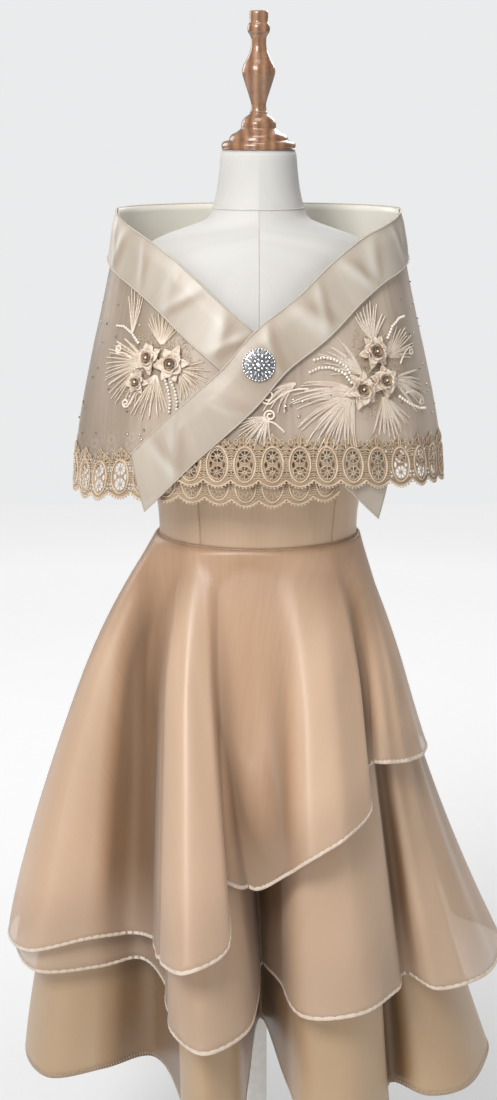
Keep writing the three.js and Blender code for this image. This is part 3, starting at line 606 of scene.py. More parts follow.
# Dress form, its neck cap and finial, and the stand
formSections = table("z half front back", [
    (-160, 136, 86, 104), (-110, 135, 89, 103), (-55, 126, 91, 97), (0, 116, 92, 88), (60, 121, 97, 94),
    (130, 132, 108, 102), (200, 139, 116, 106), (225, 141, 110, 107), (250, 143, 101.5, 107),
    (300, 146, 86, 100), (326, 142, 78, 90), (343, 128, 71, 80), (354, 106, 66, 72), (363, 80, 61, 65),
    (371, 60, 56, 58), (384, 53, 51, 52), (410, 47, 46, 47), (449, 43, 43, 43),
])
# Heights where the seams start and end, and the turns of the two princess seams
formLook = {"rows": 110, "columns": 96, "rimShare": 0.96, "underShare": 0.97, "seamThickness": 1.5,
            "seamLift": 0.1, "neckSeam": 384, "princess": (-35, 47), "princessTop": 262, "sideTop": 343,
            "seamLow": 20}
seatGap = 0.3  # between pieces that stand on each other


def onForm(z, angle, out=0.0):
    sizes = [between(formSections, "z", z, name) + out for name in ("half", "front", "back")]
    x, y = oval(*sizes, angle)
    return np.stack([x, y, np.broadcast_to(z, np.shape(x)).astype(float)], axis=-1)


def upright(turn, start, end, count, out):  # a line up or down the form
    return onForm(np.linspace(start, end, count), np.full(count, math.radians(turn)), out)


def dressForm():
    top = formSections["z"][-1]
    bottom = formSections["z"][0]
    heights = np.linspace(top, bottom, formLook["rows"])
    angles = np.radians(np.arange(formLook["columns"]) * 360 / formLook["columns"])
    grid = onForm(heights[:, None], angles[None, :])
    rim = grid[:1] * [formLook["rimShare"], formLook["rimShare"], 1]
    low = grid[-1:] * [formLook["underShare"], formLook["underShare"], 1]
    closed = np.concatenate([grid[:1] * [0, 0, 1], rim, grid[1:-1], low, grid[-1:] * [0, 0, 1]])
    form = joinedEnds(gridPiece("dress_form_body", closed, looks["formLinen"], ring=True))
    settle(form, "linen", "dress_form")

    neck = float(formLook["neckSeam"])
    end = formLook["seamLow"]
    rows = [(0, neck, end, 90), (180, neck, top - 2, 24)]  # turn, start, end and points of each seam
    rows += [(turn, formLook["princessTop"], end, 80) for turn in formLook["princess"]]
    rows += [(turn, formLook["sideTop"], end, 80) for turn in (90, -90, 180)]
    seams = [upright(turn, start, end, count, formLook["seamLift"]) for turn, start, end, count in rows]
    seams.insert(2, onForm(np.full(121, neck), np.radians(np.linspace(0, 360, 121)), formLook["seamLift"]))
    settle(tubes("dress_form_seams", seams, formLook["seamThickness"], looks["formSeam"]), "linen")


def turnedPiece(name, profile, foot, finish, node, segments, steps):
    profile = [(radius, height + foot) for radius, height in profile]
    settle(lathe(name, profile, looks[finish], segments, steps), finish, node)


# Profiles of turned pieces: radius and height, from the top down where they stand on the form
capProfile = [
    (0, 41.4), (9.6, 41.2), (10.5, 39), (16, 35), (19.4, 30), (20, 26), (20.4, 23), (25, 19.4), (30.5, 16.5),
    (33, 13.6), (33.8, 11), (34.6, 10), (39, 9), (41.6, 7), (42.5, 4), (41.6, 1.4), (39, 0), (0, 0),
]
finialProfile = [
    (0, 110), (7, 110), (10, 109), (10.6, 104), (10.2, 98), (12, 94.5), (12.7, 91), (12.2, 87), (10, 83.5),
    (8.5, 79), (9.2, 69), (13, 59), (17.6, 50), (18.8, 43), (16.4, 34), (12.5, 22), (9.6, 13), (8.5, 8),
    (8.8, 3.4), (9.4, 1), (9.2, 0), (0, 0),
]
finialFoot = 491


def turnedWood():
    capFoot = formSections["z"][-1] + seatGap
    turnedPiece("neck_cap_wood", capProfile, capFoot, "wood", "neck_cap", 64, 5)
    turnedPiece("finial_wood", finialProfile, finialFoot, "wood", "finial", 48, 6)


standLook = {"baseRadius": 190, "baseHeight": 14, "hubRadius": 24, "hubHeight": 34, "poleRadius": 12.5,
             "plateRadius": 45, "plateHeight": 6}


def stand():
    look = standLook
    floor = -waistHeight
    hub = look["hubRadius"]
    top = look["hubHeight"]
    edge = look["baseRadius"]
    high = look["baseHeight"]
    base = [(0, top), (hub - 2, top), (hub, top - 2), (hub + 2, high + 8), (hub + 7, high + 4),
            (hub + 30, high + 3), (edge - 12, high + 0.6), (edge - 5, high - 1.5),
            (edge - 0.8, high * 0.5 + 1), (edge, high * 0.4), (edge - 0.5, 0.8), (edge - 2, 0), (0, 0)]
    turnedPiece("stand_base_plate", base, floor, "enamel", "stand_base", 96, 3)
    top = formSections["z"][0] - seatGap
    low = floor + look["hubHeight"] + seatGap
    under = top - look["plateHeight"]
    plate = look["plateRadius"]
    thin = look["poleRadius"]
    pole = [(0, top), (plate - 1, top), (plate, top - 1), (plate, under), (plate - 5, under - 2),
            (thin + 3, under - 9), (thin, under - 14), (thin, under - 200), (thin, low + 200),
            (thin, low), (0, low)]
    turnedPiece("stand_pole_tube", pole, 0, "enamel", "stand_pole", 48, 3)


dressForm()
turnedWood()
stand()
print("form and stand made")


# Bodice
bodiceLook = {"out": 3.0, "wall": 1.6, "low": 0.4, "zipHalf": 1.6, "lipTurn": 0.45, "rows": 60,
              "columnTurn": 1.6, "gap": 0.1, "leanOver": 60, "seam": 0.8, "lip": 1.1, "seamLow": 4,
              "lipTop": 190}
bodiceTop = table("angle z", [(0, 236), (55, 222), (90, 206), (135, 196), (180, 192)])
leftSeam, rightSeam = formLook["princess"]
zipStart = 180 - bodiceLook["zipHalf"]
zipEnd = 180 + bodiceLook["zipHalf"]
bodicePanels = [  # name, and the turns where it starts and ends
    ("bodice_side_front_left", -90, leftSeam), ("bodice_centre_front", leftSeam, rightSeam),
    ("bodice_side_front_right", rightSeam, 90), ("bodice_back_right", 90, zipStart),
    ("back_zip", zipStart, zipEnd), ("bodice_back_left", zipEnd, 270),
]
bodicePulls = table("turn z lean width height reach", [  # soft drag lines, from the bust and the waist seam
    (-22, 30, 8, 2.6, 0.5, 34), (-8, 22, -5, 3.0, 0.45, 26), (12, 34, 6, 2.4, 0.5, 36),
    (30, 26, -9, 2.8, 0.5, 30), (-52, 34, 7, 2.8, 0.45, 36), (62, 30, -6, 2.6, 0.5, 34),
    (118, 34, 6, 3.2, 0.55, 40), (150, 26, -6, 3.0, 0.5, 30), (208, 30, 6, 3.0, 0.5, 36),
    (236, 36, -6, 3.2, 0.5, 40),
])


def bodiceDrag(turn, z):
    rise = np.zeros(np.broadcast(turn, z).shape)
    for pull in rowsOf(bodicePulls):
        centre = pull["turn"] + pull["lean"] * (z - pull["z"]) / bodiceLook["leanOver"]
        across = np.exp(-(((turn - centre) / pull["width"]) ** 2))
        rise += pull["height"] * across * np.exp(-(((z - pull["z"]) / pull["reach"]) ** 2))
    return rise


def bodice():
    look = bodiceLook
    for name, start, end in bodicePanels:
        columns = max(5, int((end - start) / look["columnTurn"]))
        turns = np.linspace(start + look["gap"], end - look["gap"], columns)
        side = np.where(turns > 180, 360 - turns, np.abs(turns))
        high = between(bodiceTop, "angle", side, "z")
        down = np.linspace(0, 1, look["rows"])[:, None]
        z = high * (1 - down) + look["low"] * down
        lift = look["out"] + bodiceDrag(turns[None, :], z)
        grid = onForm(z, np.radians(turns)[None, :], lift)
        isZip = name == "back_zip"
        cloth = gridPiece(name + "_cloth", grid, looks["zipTape" if isZip else "bodiceSatin"], look["wall"])
        settle(cloth, "zip_tape" if isZip else "bodice_satin", name)
        if not isZip:
            sewn(cloth, grid)
    seams = []
    for turn in (leftSeam, rightSeam, 90, -90):
        top = float(between(bodiceTop, "angle", abs(turn), "z"))
        seams.append(upright(turn, top, look["seamLow"], 50, look["out"] - 0.1))
    settle(tubes("bodice_seams", seams, look["seam"], looks["bodiceSatin"]), "bodice_satin")
    ends = (look["lipTop"], look["seamLow"])
    lips = [upright(180 + side * look["lipTurn"], *ends, 50, look["out"] + 0.1) for side in (-1, 1)]
    settle(tubes("back_zip_lips", lips, look["lip"], looks["bodiceSatin"]), "bodice_satin")


bodice()
print("bodice made")


# Skirt
hipShape = table("depth half front back", [
    (0, 118.4, 94.4, 90.4), (60, 131, 97, 103), (120, 141, 98, 110), (180, 146, 98, 113), (700, 146, 98, 113),
])
foldNames = "turn x y drop opens"
underFolds = table(foldNames, [
    (-90, -300, -30, 680, 0.8), (-83, -262, -106, 680, 0.8), (-77, -192, -98, 672, 0.9),
    (-66, -134, -82, 664, 1),
    (-50, -94, -170, 672, 1.05), (-44, -86, -272, 682, 1.05), (-38, -58, -320, 686, 1.05),
    (-31, -24, -282, 680, 1.05), (-22, -12, -190, 640, 1), (-8, 4, -92, 604, 1), (8, 34, -164, 650, 1),
    (19, 62, -226, 676, 1), (31, 112, -232, 682, 1), (43, 156, -182, 682, 1), (54, 166, -122, 676, 1.2),
    (63, 208, -146, 680, 1.4), (73, 256, -128, 682, 1.6), (82, 288, -74, 680, 1.6), (90, 298, -14, 680, 1.6),
])
middleFolds = table(foldNames, [
    (-90, -306, -34, 528, 0.8), (-83, -270, -118, 527, 0.8), (-77, -198, -114, 524, 0.9),
    (-66, -146, -98, 520, 1),
    (-50, -106, -182, 520, 1.05), (-44, -98, -276, 516, 1.05), (-38, -62, -328, 514, 1.05),
    (-31, -16, -288, 514, 1.05), (-22, 0, -204, 518, 1), (-8, 6, -106, 508, 1), (8, 24, -162, 512, 1),
    (19, 52, -238, 520, 1), (31, 118, -242, 514, 1), (43, 163, -186, 515, 1), (54, 180, -136, 520, 1.2),
    (63, 212, -162, 526, 1.4), (73, 264, -142, 525, 1.6), (82, 298, -84, 530, 1.6), (90, 310, -16, 529, 1.6),
])
topFolds = table(foldNames, [
    (-90, -314, -46, 508, 0.8), (-83, -276, -128, 494, 0.8), (-77, -204, -128, 478, 0.85),
    (-66, -152, -114, 478, 0.9),
    (-50, -112, -194, 452, 1), (-44, -106, -288, 426, 1), (-38, -80, -336, 411, 1), (-31, -34, -300, 402, 1),
    (-22, -34, -216, 350, 1), (-8, -4, -212, 372, 1), (8, 34, -218, 350, 1), (19, 60, -240, 322, 1),
    (31, 98, -228, 302, 1), (43, 128, -180, 290, 1), (54, 124, -134, 250, 1.1), (63, 150, -134, 248, 1.2),
    (73, 178, -112, 254, 1.3), (82, 202, -66, 262, 1.4), (90, 208, -10, 268, 1.4),
])
backFolds = table("turn radius", [
    (101, 246), (116, 292), (135, 168), (158, 304), (182, 150), (205, 300), (228, 162), (248, 306),
    (259, 262),
])
skirtLook = {"seamHeight": 0.6, "soften": 1, "fullShadeDepth": 6.5, "layerGap": 2.3, "hemSpread": 9,
             "columns": 202, "inset": 0.3, "satinWall": 1.6, "organzaWall": 1.2, "underRows": 58,
             "tierRows": 50, "hemStarts": 0.80, "creaseDepth": 680, "waistOut": 0.4, "braidHalf": 2.5,
             "braidThick": 1.0}
# Soft ridges down the cloth: turn at the waist, where each starts and ends, and how it leans
creases = table("turn start end lean width height", [
    (-80, 0.10, 0.75, 3, 3.2, 2.2), (-70, 0.25, 0.95, -2, 2.6, 1.4), (-62, 0.05, 0.50, 2, 2.4, 1.6),
    (-44, 0.04, 0.90, 0, 4.2, 2.4), (-36, 0.06, 0.50, -1, 2.2, 1.6), (-22, 0.08, 0.60, 2, 3.4, 1.6),
    (-3, 0.15, 0.95, -1, 5.5, 1.6), (14, 0.25, 0.90, 1, 5.0, 1.8), (30, 0.06, 0.70, -2, 3.4, 1.6),
    (44, 0.05, 0.96, 1, 3.4, 2.8), (56, 0.05, 0.55, 2, 2.4, 1.8), (64, 0.15, 0.85, -1, 2.2, 1.6),
    (71, 0.05, 0.60, 2, 1.8, 2.2), (80, 0.20, 0.90, -2, 2.4, 1.6), (96, 0.06, 0.70, 2, 3.4, 2.2),
    (112, 0.20, 0.95, -1, 3.6, 1.8), (129, 0.05, 0.55, 2, 3.2, 2.4), (148, 0.15, 0.85, -2, 4.0, 2.0),
    (169, 0.05, 0.65, 2, 3.6, 2.4), (193, 0.20, 0.92, -1, 4.2, 2.0), (215, 0.06, 0.60, 2, 3.4, 2.2),
    (239, 0.15, 0.90, -2, 3.4, 1.8), (255, 0.05, 0.60, 1, 2.8, 2.0),
])


def creaseLift(turn, down):
    rise = np.zeros(np.broadcast(turn, down).shape)
    for one in rowsOf(creases):
        centre = one["turn"] + one["lean"] * down
        near = np.exp(-(((turn - centre) / one["width"]) ** 2))
        beside = turn - centre - one["width"] * 1.9  # a shallow trough lies beside each ridge
        near -= 0.45 * np.exp(-((beside / (one["width"] * 1.3)) ** 2))
        length = smooth((down - one["start"]) / 0.18) * smooth((one["end"] - down) / 0.22)
        rise += one["height"] * near * length
    return rise


class SkirtLayer:
    def __init__(self, front, outset, reach=None):
        left, *_, right = rowsOf(front)
        under = (underFolds["x"][-1] - underFolds["x"][0]) / 2
        turn = backFolds["turn"]
        about = (turn - 90) / 180
        far = (backFolds["radius"] + outset) * (right["x"] / under * (1 - about) - left["x"] / under * about)
        narrow = (right["x"] - left["x"]) / 2 / under
        narrow = narrow + (1 - narrow) * smooth(about * 2)
        x, y = oval(far, far, far * np.minimum(1, narrow), np.radians(turn))
        drop = right["drop"] + (left["drop"] - right["drop"]) * smooth(about)
        opens = right["opens"] + (left["opens"] - right["opens"]) * about
        self.turns = np.concatenate([front["turn"], turn])
        self.opens = np.concatenate([front["opens"], opens])
        self.ends = np.stack([np.concatenate([front["x"], x]), np.concatenate([front["y"], y]),
                              -np.concatenate([front["drop"], drop])], axis=-1)
        self.reach = reach
        self.rightSeam = (len(front["x"]) - 1) / len(self.ends)

    def value(self, column, u, turnRound=0.0):
        place = u * len(column)
        i = np.floor(place).astype(int) % len(column)
        after = np.append(column[1:], column[0] + turnRound)
        return column[i] + (after[i] - column[i]) * (place - np.floor(place))

    def turnAt(self, u):
        return self.value(self.turns, u % 1, 360)

    def hem(self, u):  # closed curve through the fold ends
        count = len(self.ends)
        place = (u % 1) * count
        i = np.floor(place).astype(int)
        return centripetal([self.ends[(i + k) % count] for k in (-1, 0, 1, 2)], (place - i)[..., None])

    def outer(self, u, down):
        u, down = np.broadcast_arrays(u, down)
        end = self.hem(u)
        depth = -end[..., 2] * down
        body = [between(hipShape, "depth", depth, name) for name in ("half", "front", "back")]
        x, y = oval(*body, np.radians(self.turnAt(u)))
        opens = self.value(self.opens, u % 1)
        late = np.clip(down, 0, 1) ** np.maximum(opens, 1)
        early = 1 - np.clip(1 - down, 0, 1) ** (1 / np.minimum(opens, 1))
        share = np.where(opens < 1, early, late)
        x = x + (end[..., 0] - x) * share
        y = y + (end[..., 1] - y) * share
        if self.reach is not None:
            least = self.reach(np.arctan2(x, -y), depth)
            grow = np.maximum(least / np.hypot(x, y), 1)
            x = x * grow
            y = y * grow
        return np.stack([x, y, -np.maximum(depth, skirtLook["seamHeight"])], axis=-1)


def reachOver(layer):  # how far out the next layer stays, by angle and depth, to lie over this one
    bins = 360
    step = 10
    levels = np.arange(0, 560, step)
    u = np.arange(900) / 900
    wide = np.zeros((len(levels), bins))
    drop = -layer.hem(u)[:, 2]
    for row, depth in zip(wide, levels):
        gap = skirtLook["layerGap"] + skirtLook["hemSpread"] * depth / levels[-1]
        plan = layer.outer(u, np.minimum(depth / drop, 1))[:, :2]
        course = np.roll(plan, -1, 0) - np.roll(plan, 1, 0)
        plan = plan + unit(np.stack([course[:, 1], -course[:, 0]], axis=-1)) * gap
        after = np.roll(plan, -1, 0)
        for share in np.linspace(0, 1, 5):
            here = plan * (1 - share) + after * share
            place = np.arctan2(here[:, 0], -here[:, 1]) / (2 * math.pi) + 1
            spot = np.round(place * bins).astype(int) % bins
            np.maximum.at(row, spot, np.hypot(here[:, 0], here[:, 1]))
    for _ in range(skirtLook["soften"]):
        wide = np.maximum(np.maximum(np.roll(wide, 1, 1), wide), np.roll(wide, -1, 1))
    for _ in range(skirtLook["soften"] * 3):  # evens out the steps between neighbouring angles
        wide = (np.roll(wide, 1, 1) + 2 * wide + np.roll(wide, -1, 1)) / 4

    def reach(angle, depth):
        level = np.clip(depth / step, 0, len(levels) - 1.001)
        low = np.floor(level).astype(int)
        place = (angle / (2 * math.pi) + 1) * bins
        spot = np.floor(place).astype(int)
        side = place - spot
        after = (spot + 1) % bins
        rows = [wide[low + k, spot % bins] * (1 - side) + wide[low + k, after] * side for k in (0, 1)]
        return rows[0] + (rows[1] - rows[0]) * (level - low)

    return reach


underLayer = SkirtLayer(underFolds, 0)
middleLayer = SkirtLayer(middleFolds, 6, reachOver(underLayer))
topLayer = SkirtLayer(topFolds, 8, reachOver(middleLayer))


def spread(start, end, columns, inset):  # places along a hem, equally far apart on the longest one
    fine = np.linspace(start, end, 1200)
    steps = np.linalg.norm(np.diff(underLayer.hem(fine), axis=0), axis=1)
    lengths = np.concatenate([[0], np.cumsum(steps)])
    return np.interp(np.linspace(inset, lengths[-1] - inset, columns), lengths, fine)


def drawnIn(grid):  # the outermost layer's top turns in to the waist seam
    first = grid[0]
    way = first[:, :2] / np.linalg.norm(first[:, :2], axis=1, keepdims=True)
    clear = bodiceLook["out"] + skirtLook["waistOut"]
    half, front, back = [between(formSections, "z", 0, name) + clear for name in ("half", "front", "back")]
    deep = np.where(way[:, 1] < 0, front, back)
    radius = 1 / np.hypot(way[:, 0] / half, way[:, 1] / deep)
    inner = np.concatenate([way * radius[:, None], np.full((len(way), 1), -0.1)], axis=1)
    middle = inner * 0.45 + first * 0.55 + [0, 0, 0.35]
    return np.concatenate([[inner, middle], grid])


def skirtGrid(layer, u, rows):
    down = np.maximum(np.linspace(0, 1, rows), 0.004)[:, None]
    grid = layer.outer(u[None, :], down)
    lift = creaseLift(layer.turnAt(u)[None, :], -grid[..., 2] / skirtLook["creaseDepth"])
    grid = grid + gridNormals(grid) * lift[..., None]
    return drawnIn(grid) if layer is topLayer else grid


def foldShade(grid, window=15):  # above a half in the hollows and below it on the ridges
    edge = ((0, 0), (window + 1, window), (0, 0))
    total = np.cumsum(np.pad(grid, edge, mode="reflect", reflect_type="odd"), axis=1)
    mean = (total[:, 2 * window + 1:] - total[:, :-2 * window - 1]) / (2 * window + 1)
    hollow = ((mean - grid) * gridNormals(grid)).sum(axis=-1)
    return 0.5 + 0.5 * np.clip(hollow / skirtLook["fullShadeDepth"], -1, 1)


def paint(piece, **values):  # values that a finish reads at each point
    for label, value in values.items():
        layer = piece.data.attributes.new(label, "FLOAT", "POINT")
        layer.data.foreach_set("value", np.ascontiguousarray(value, dtype=np.float32).ravel())


def skirtCloth(name, layer, rows, material, wall, slot, lower=None):
    rests = ["waist_seam_roll"]
    if lower:
        rests += [f"{lower}_front_cloth", f"{lower}_back_cloth"]
    for side, start, end in (("front", 0, layer.rightSeam), ("back", layer.rightSeam, 1)):
        u = spread(start, end, skirtLook["columns"], skirtLook["inset"])
        grid = skirtGrid(layer, u, rows)
        node = f"{name}_{side}"
        cloth = gridPiece(node + "_cloth", grid, looks[material], wall)
        starts = skirtLook["hemStarts"]
        hem = smooth((np.linspace(0, 1, len(grid))[:, None] - starts) / (1 - starts)) + np.zeros(len(u))
        # painted shade in the hollows of the folds and painted highlight on their ridges
        paint(cloth, fold=foldShade(grid), hem=hem)
        settle(cloth, slot, node)
        sewn(cloth, grid)


def hemPath(layer, points=900):  # the outer face's last row, with the cloth's own directions there
    u = spread(0, 1, points + 1, 0)[:-1]
    near = np.array([0.985, 1.0])[:, None]
    grid = layer.outer(u[None, :], near)
    around = np.roll(grid, -1, 1) - np.roll(grid, 1, 1)
    down = unit(grid[1] - grid[0])
    out = unit(np.cross(down, around[1]))
    lift = creaseLift(layer.turnAt(u), -grid[1][:, 2] / skirtLook["creaseDepth"])
    return grid[1] + out * lift[:, None], down, out, unit(around[1])


def hemBraid(name, layer):
    path, down, out, course = hemPath(layer)
    look = skirtLook
    path = path - out * look["organzaWall"] / 2 - down * look["braidHalf"] * 0.6
    wavy = 0.35 * np.sin(np.arange(len(path)) * 1.9)[:, None]
    sizes = (look["braidHalf"], look["braidThick"])
    settle(sweep(name + "_hem", path + out * wavy, down, out, *sizes, looks["braid"]), "organza")
    every = path[::2] + out[::2] * (look["braidThick"] + 0.1) - down[::2] * look["braidHalf"] * 0.9
    spots = [(p, o, c, 1.0) for p, o, c in zip(every, out[::2], course[::2])]
    stitches = beads(name + "_hem_stitches", spots, (0.5, 2.6, 0.5, 5, 3, True), looks["braid"])
    settle(stitches, "organza")


def underskirtStitches():
    path, down, out, course = hemPath(underLayer, 760)
    lean = unit(down + course * 0.35)
    spots = [(p - d * 3.2 + o * 0.15, o, s, 1.0) for p, d, o, s in zip(path, down, out, lean)]
    stitches = beads("underskirt_hem_stitches", spots, (0.7, 6.6, 0.55, 5, 3, True), looks["braid"])
    settle(stitches, "skirt_satin")


def waistSeam():
    turned = np.radians(np.arange(240) * 1.5)
    outs = [hipShape[name][0] - 0.3 for name in ("half", "front", "back")]
    x, y = oval(*outs, turned)
    path = np.stack([x, y, np.zeros(240)], axis=-1)
    course = unit(np.roll(path, -1, 0) - np.roll(path, 1, 0))
    out = unit(np.cross(course, np.array([[0, 0, 1.0]])))
    up = np.repeat([[0, 0, 1.0]], 240, axis=0)
    roll = sweep("waist_seam_roll", path, up, out, 0.9, 1.4, looks["bodiceSatin"], 12)
    settle(roll, "bodice_satin", "waist_seam")


waistSeam()
satin = skirtLook["satinWall"]
sheer = skirtLook["organzaWall"]
skirtCloth("underskirt", underLayer, skirtLook["underRows"], "shadedSkirtSatin", satin, "skirt_satin")
skirtCloth("middle_tier", middleLayer, skirtLook["tierRows"], "shadedMiddleOrganza", sheer, "organza", "underskirt")
skirtCloth("top_tier", topLayer, skirtLook["tierRows"], "organza", sheer, "organza", "middle_tier")
underskirtStitches()
hemBraid("middle_tier", middleLayer)
hemBraid("top_tier", topLayer)
print("skirt made")


# Capelet. Along is measured on the cloth from the centre front, z up from the waist
capeSections = table("z half front back", [
    (20, 219, 158, 142), (70, 218, 158, 141), (120, 214, 151, 139), (165, 207, 140.5, 137),
    (200, 200, 130.8, 135), (225, 194.5, 125.5, 133), (256, 187, 118.5, 130), (300, 177, 107.5, 124),
    (330, 171, 101, 119), (382, 163, 91, 113),
])
capeLook = {"centre": 10, "girthHeight": 200, "top": 382, "wall": 1.2, "gap": 0.3, "rows": 40, "lapLift": 7,
            "lapEnd": 235, "lapFade": 75, "laceLift": 1.9, "netTop": 45, "backHem": 62}
# the tones below set the bands' painted shade and painted highlight: an even value, one for the rolled edges
# and the strength across the puckers
bandLook = {"lift": 3.9, "width": 55, "skew": 32, "columns": 170, "rim": 1.9, "tone": 0.42, "rimShading": 0.40,
            "puckerShadingStrength": 1.1, "gap": 0.6}
# Soft standing folds in the capelet, which only swell outwards
capeFolds = table("along width height top", [
    (-236, 15, 3.4, 250), (-205, 12, 2.2, 190), (-178, 14, 3.0, 230), (-84, 13, 1.6, 150), (28, 16, 1.2, 140),
    (86, 14, 1.6, 150), (176, 14, 2.8, 220), (208, 12, 2.4, 200), (240, 15, 3.4, 260), (292, 18, 4.0, 280),
    (338, 15, 3.0, 230), (386, 20, 4.4, 300), (440, 18, 3.6, 260), (492, 17, 3.8, 270), (546, 20, 4.2, 290),
    (598, 16, 3.2, 240), (650, 19, 4.0, 280), (704, 16, 3.2, 240), (750, 17, 3.6, 260),
])


def capeShell(z, angle):
    sizes = [between(capeSections, "z", z, name) for name in ("half", "front", "back")]
    x, y = oval(*sizes, angle, capeLook["centre"])
    return np.stack([x, y, np.broadcast_to(z, np.shape(x)).astype(float)], axis=-1)


ringAngles = np.radians(np.arange(361))
ringPoints = capeShell(np.full(361, float(capeLook["girthHeight"])), ringAngles)
girth = np.concatenate([[0], np.cumsum(np.linalg.norm(np.diff(ringPoints, axis=0), axis=1))])
fullGirth = girth[-1]
sideAlong = girth[90]


def capeSwell(along, z):
    swell = np.zeros(np.broadcast(along, z).shape)
    for one in rowsOf(capeFolds):
        away = (along - one["along"] + fullGirth / 2) % fullGirth - fullGirth / 2
        swell += one["height"] * np.exp(-((away / one["width"]) ** 2)) * smooth((one["top"] - z) / 150)
    return swell


def onCape(along, z, out=0.0):
    along, z, out = np.broadcast_arrays(*(np.asarray(value, float) for value in (along, z, out)))
    angle = np.interp(along % fullGirth, girth, ringAngles)
    tick = math.radians(1)
    across = capeShell(z, angle + tick) - capeShell(z, angle - tick)
    up = capeShell(z + 2, angle) - capeShell(z - 2, angle)
    normal = unit(np.cross(across, up))
    return capeShell(z, angle) + normal * (out + capeSwell(along, z))[..., None]


def onCapeAxes(along, z, out, heading):  # place, outward direction and course for something sewn on
    tick = 0.4
    here = onCape(along, z, out)
    right = unit(onCape(along + tick, z, out) - onCape(along - tick, z, out))
    up = unit(onCape(along, z + tick, out) - onCape(along, z - tick, out))
    course = unit(right * np.cos(heading)[..., None] + up * np.sin(heading)[..., None])
    return here, unit(np.cross(right, up)), course


def lapOut(along):
    return capeLook["lapLift"] * smooth((capeLook["lapEnd"] - np.asarray(along, float)) / capeLook["lapFade"])


def noLap(along):
    return np.zeros(np.shape(along))


lowerEdge = table("along z", [
    (-sideAlong, 382), (-180, 360), (-133, 341), (-93, 318), (-48, 285), (-5, 253), (42, 210), (95, 158),
    (146, 104),
])
upperEdge = table("along z", [
    (-136, 115), (-95, 159), (-42, 211), (-5, 253), (47, 290), (95, 327), (142, 353), (185, 366),
    (sideAlong, 382),
])
lowerHem = table("along z", [
    (-526, 62), (-262, 60), (-200, 55), (-150, 64), (-60, 67), (0, 64), (60, 68), (110, 76),
])
upperHem = table("along z", [(-110, 87), (60, 86), (130, 80), (200, 74), (262, 68), (526, 62)])


def capeCloth(name, along, high, low, out, material):
    down = np.linspace(0, 1, capeLook["rows"])[:, None]
    along = along[None, :]
    grid = onCape(along, high * (1 - down) + low * down, out(along))
    cloth = gridPiece(name + "_cloth", grid, looks[material], capeLook["wall"])
    settle(cloth, "capelet_organza", name)
    sewn(cloth, grid)


def capeFront(name, edge, hem, start, end, out):
    along = np.linspace(start, end, 110)
    high = between(edge, "along", along, "z") - capeLook["gap"]
    low = between(hem, "along", along, "z") + capeLook["netTop"]
    capeCloth(name, along, high, low, out, "capeOrganza")


def capeBack():
    gap = capeLook["gap"]
    along = np.linspace(sideAlong + gap, fullGirth - sideAlong - gap, 150)
    low = capeLook["backHem"] + capeLook["netTop"]
    capeCloth("capelet_back", along, capeLook["top"] - gap, low, noLap, "capeBackOrganza")


def curveThrough(rows, count):  # even steps along a centripetal curve through table rows
    points = np.stack([rows["along"], rows["z"]], axis=-1)
    ends = [2 * points[0] - points[1], *points, 2 * points[-1] - points[-2]]
    share = np.linspace(0, 1, 24, endpoint=False)[:, None]
    pieces = [centripetal(ends[i:i + 4], share) for i in range(len(points) - 1)]
    line = np.concatenate([*pieces, points[-1:]])
    lengths = np.concatenate([[0], np.cumsum(np.linalg.norm(np.diff(line, axis=0), axis=1))])
    even = np.linspace(0.001, 0.999, count) * lengths[-1]
    line = np.stack([np.interp(even, lengths, line[:, k]) for k in (0, 1)], axis=-1)
    return line, unit(np.gradient(line, axis=0))


def bandOut(across):
    rise = smooth(across / (bandLook["width"] * 0.35))
    return capeLook["laceLift"] + (bandLook["lift"] - capeLook["laceLift"]) * rise


bandPuckers = table("place width height lean", [  # slanting wrinkles across the folded bands
    (0.06, 0.014, 1.2, 0.05), (0.14, 0.020, 1.6, -0.04), (0.21, 0.013, 1.1, 0.06), (0.33, 0.024, 1.5, 0.05),
    (0.42, 0.015, 1.2, -0.05), (0.50, 0.022, 1.7, 0.04), (0.58, 0.014, 1.1, -0.06),
    (0.66, 0.019, 1.5, 0.05), (0.77, 0.024, 1.5, -0.04), (0.86, 0.016, 1.4, 0.05), (0.94, 0.014, 1.1, -0.03),
])


def puckerLift(place, down):
    lift = np.zeros(np.broadcast(place, down).shape)
    for one in rowsOf(bandPuckers):
        centre = one["place"] + one["lean"] * down
        lift += one["height"] * np.exp(-(((place - centre) / one["width"]) ** 2))
    return lift * np.sin(np.clip(down, 0, 1) * math.pi) ** 0.7


def bandRows():  # closer together at the folded edge and the stitched one
    t = np.linspace(0, 1, 26)[:, None]
    return (t + smooth(t)) / 2


def bandPiece(name, grid, fold):  # the band, with its folded edge and its stitched one
    cloth = gridPiece(name + "_cloth", grid, looks["bandOrganza"], capeLook["wall"])
    # painted shade and painted highlight on the band
    paint(cloth, fold=np.clip(bandLook["tone"] + fold, 0, 1))
    settle(cloth, "band_organza", name)
    sewn(cloth, grid)
    rims = tubes(name + "_folds", [grid[0], grid[-1]], bandLook["rim"], looks["bandOrganza"], sides=8)
    # the rolled edges take one even value of the painted shading
    paint(rims, fold=np.full(len(rims.data.vertices), bandLook["rimShading"]))
    settle(rims, "band_organza")


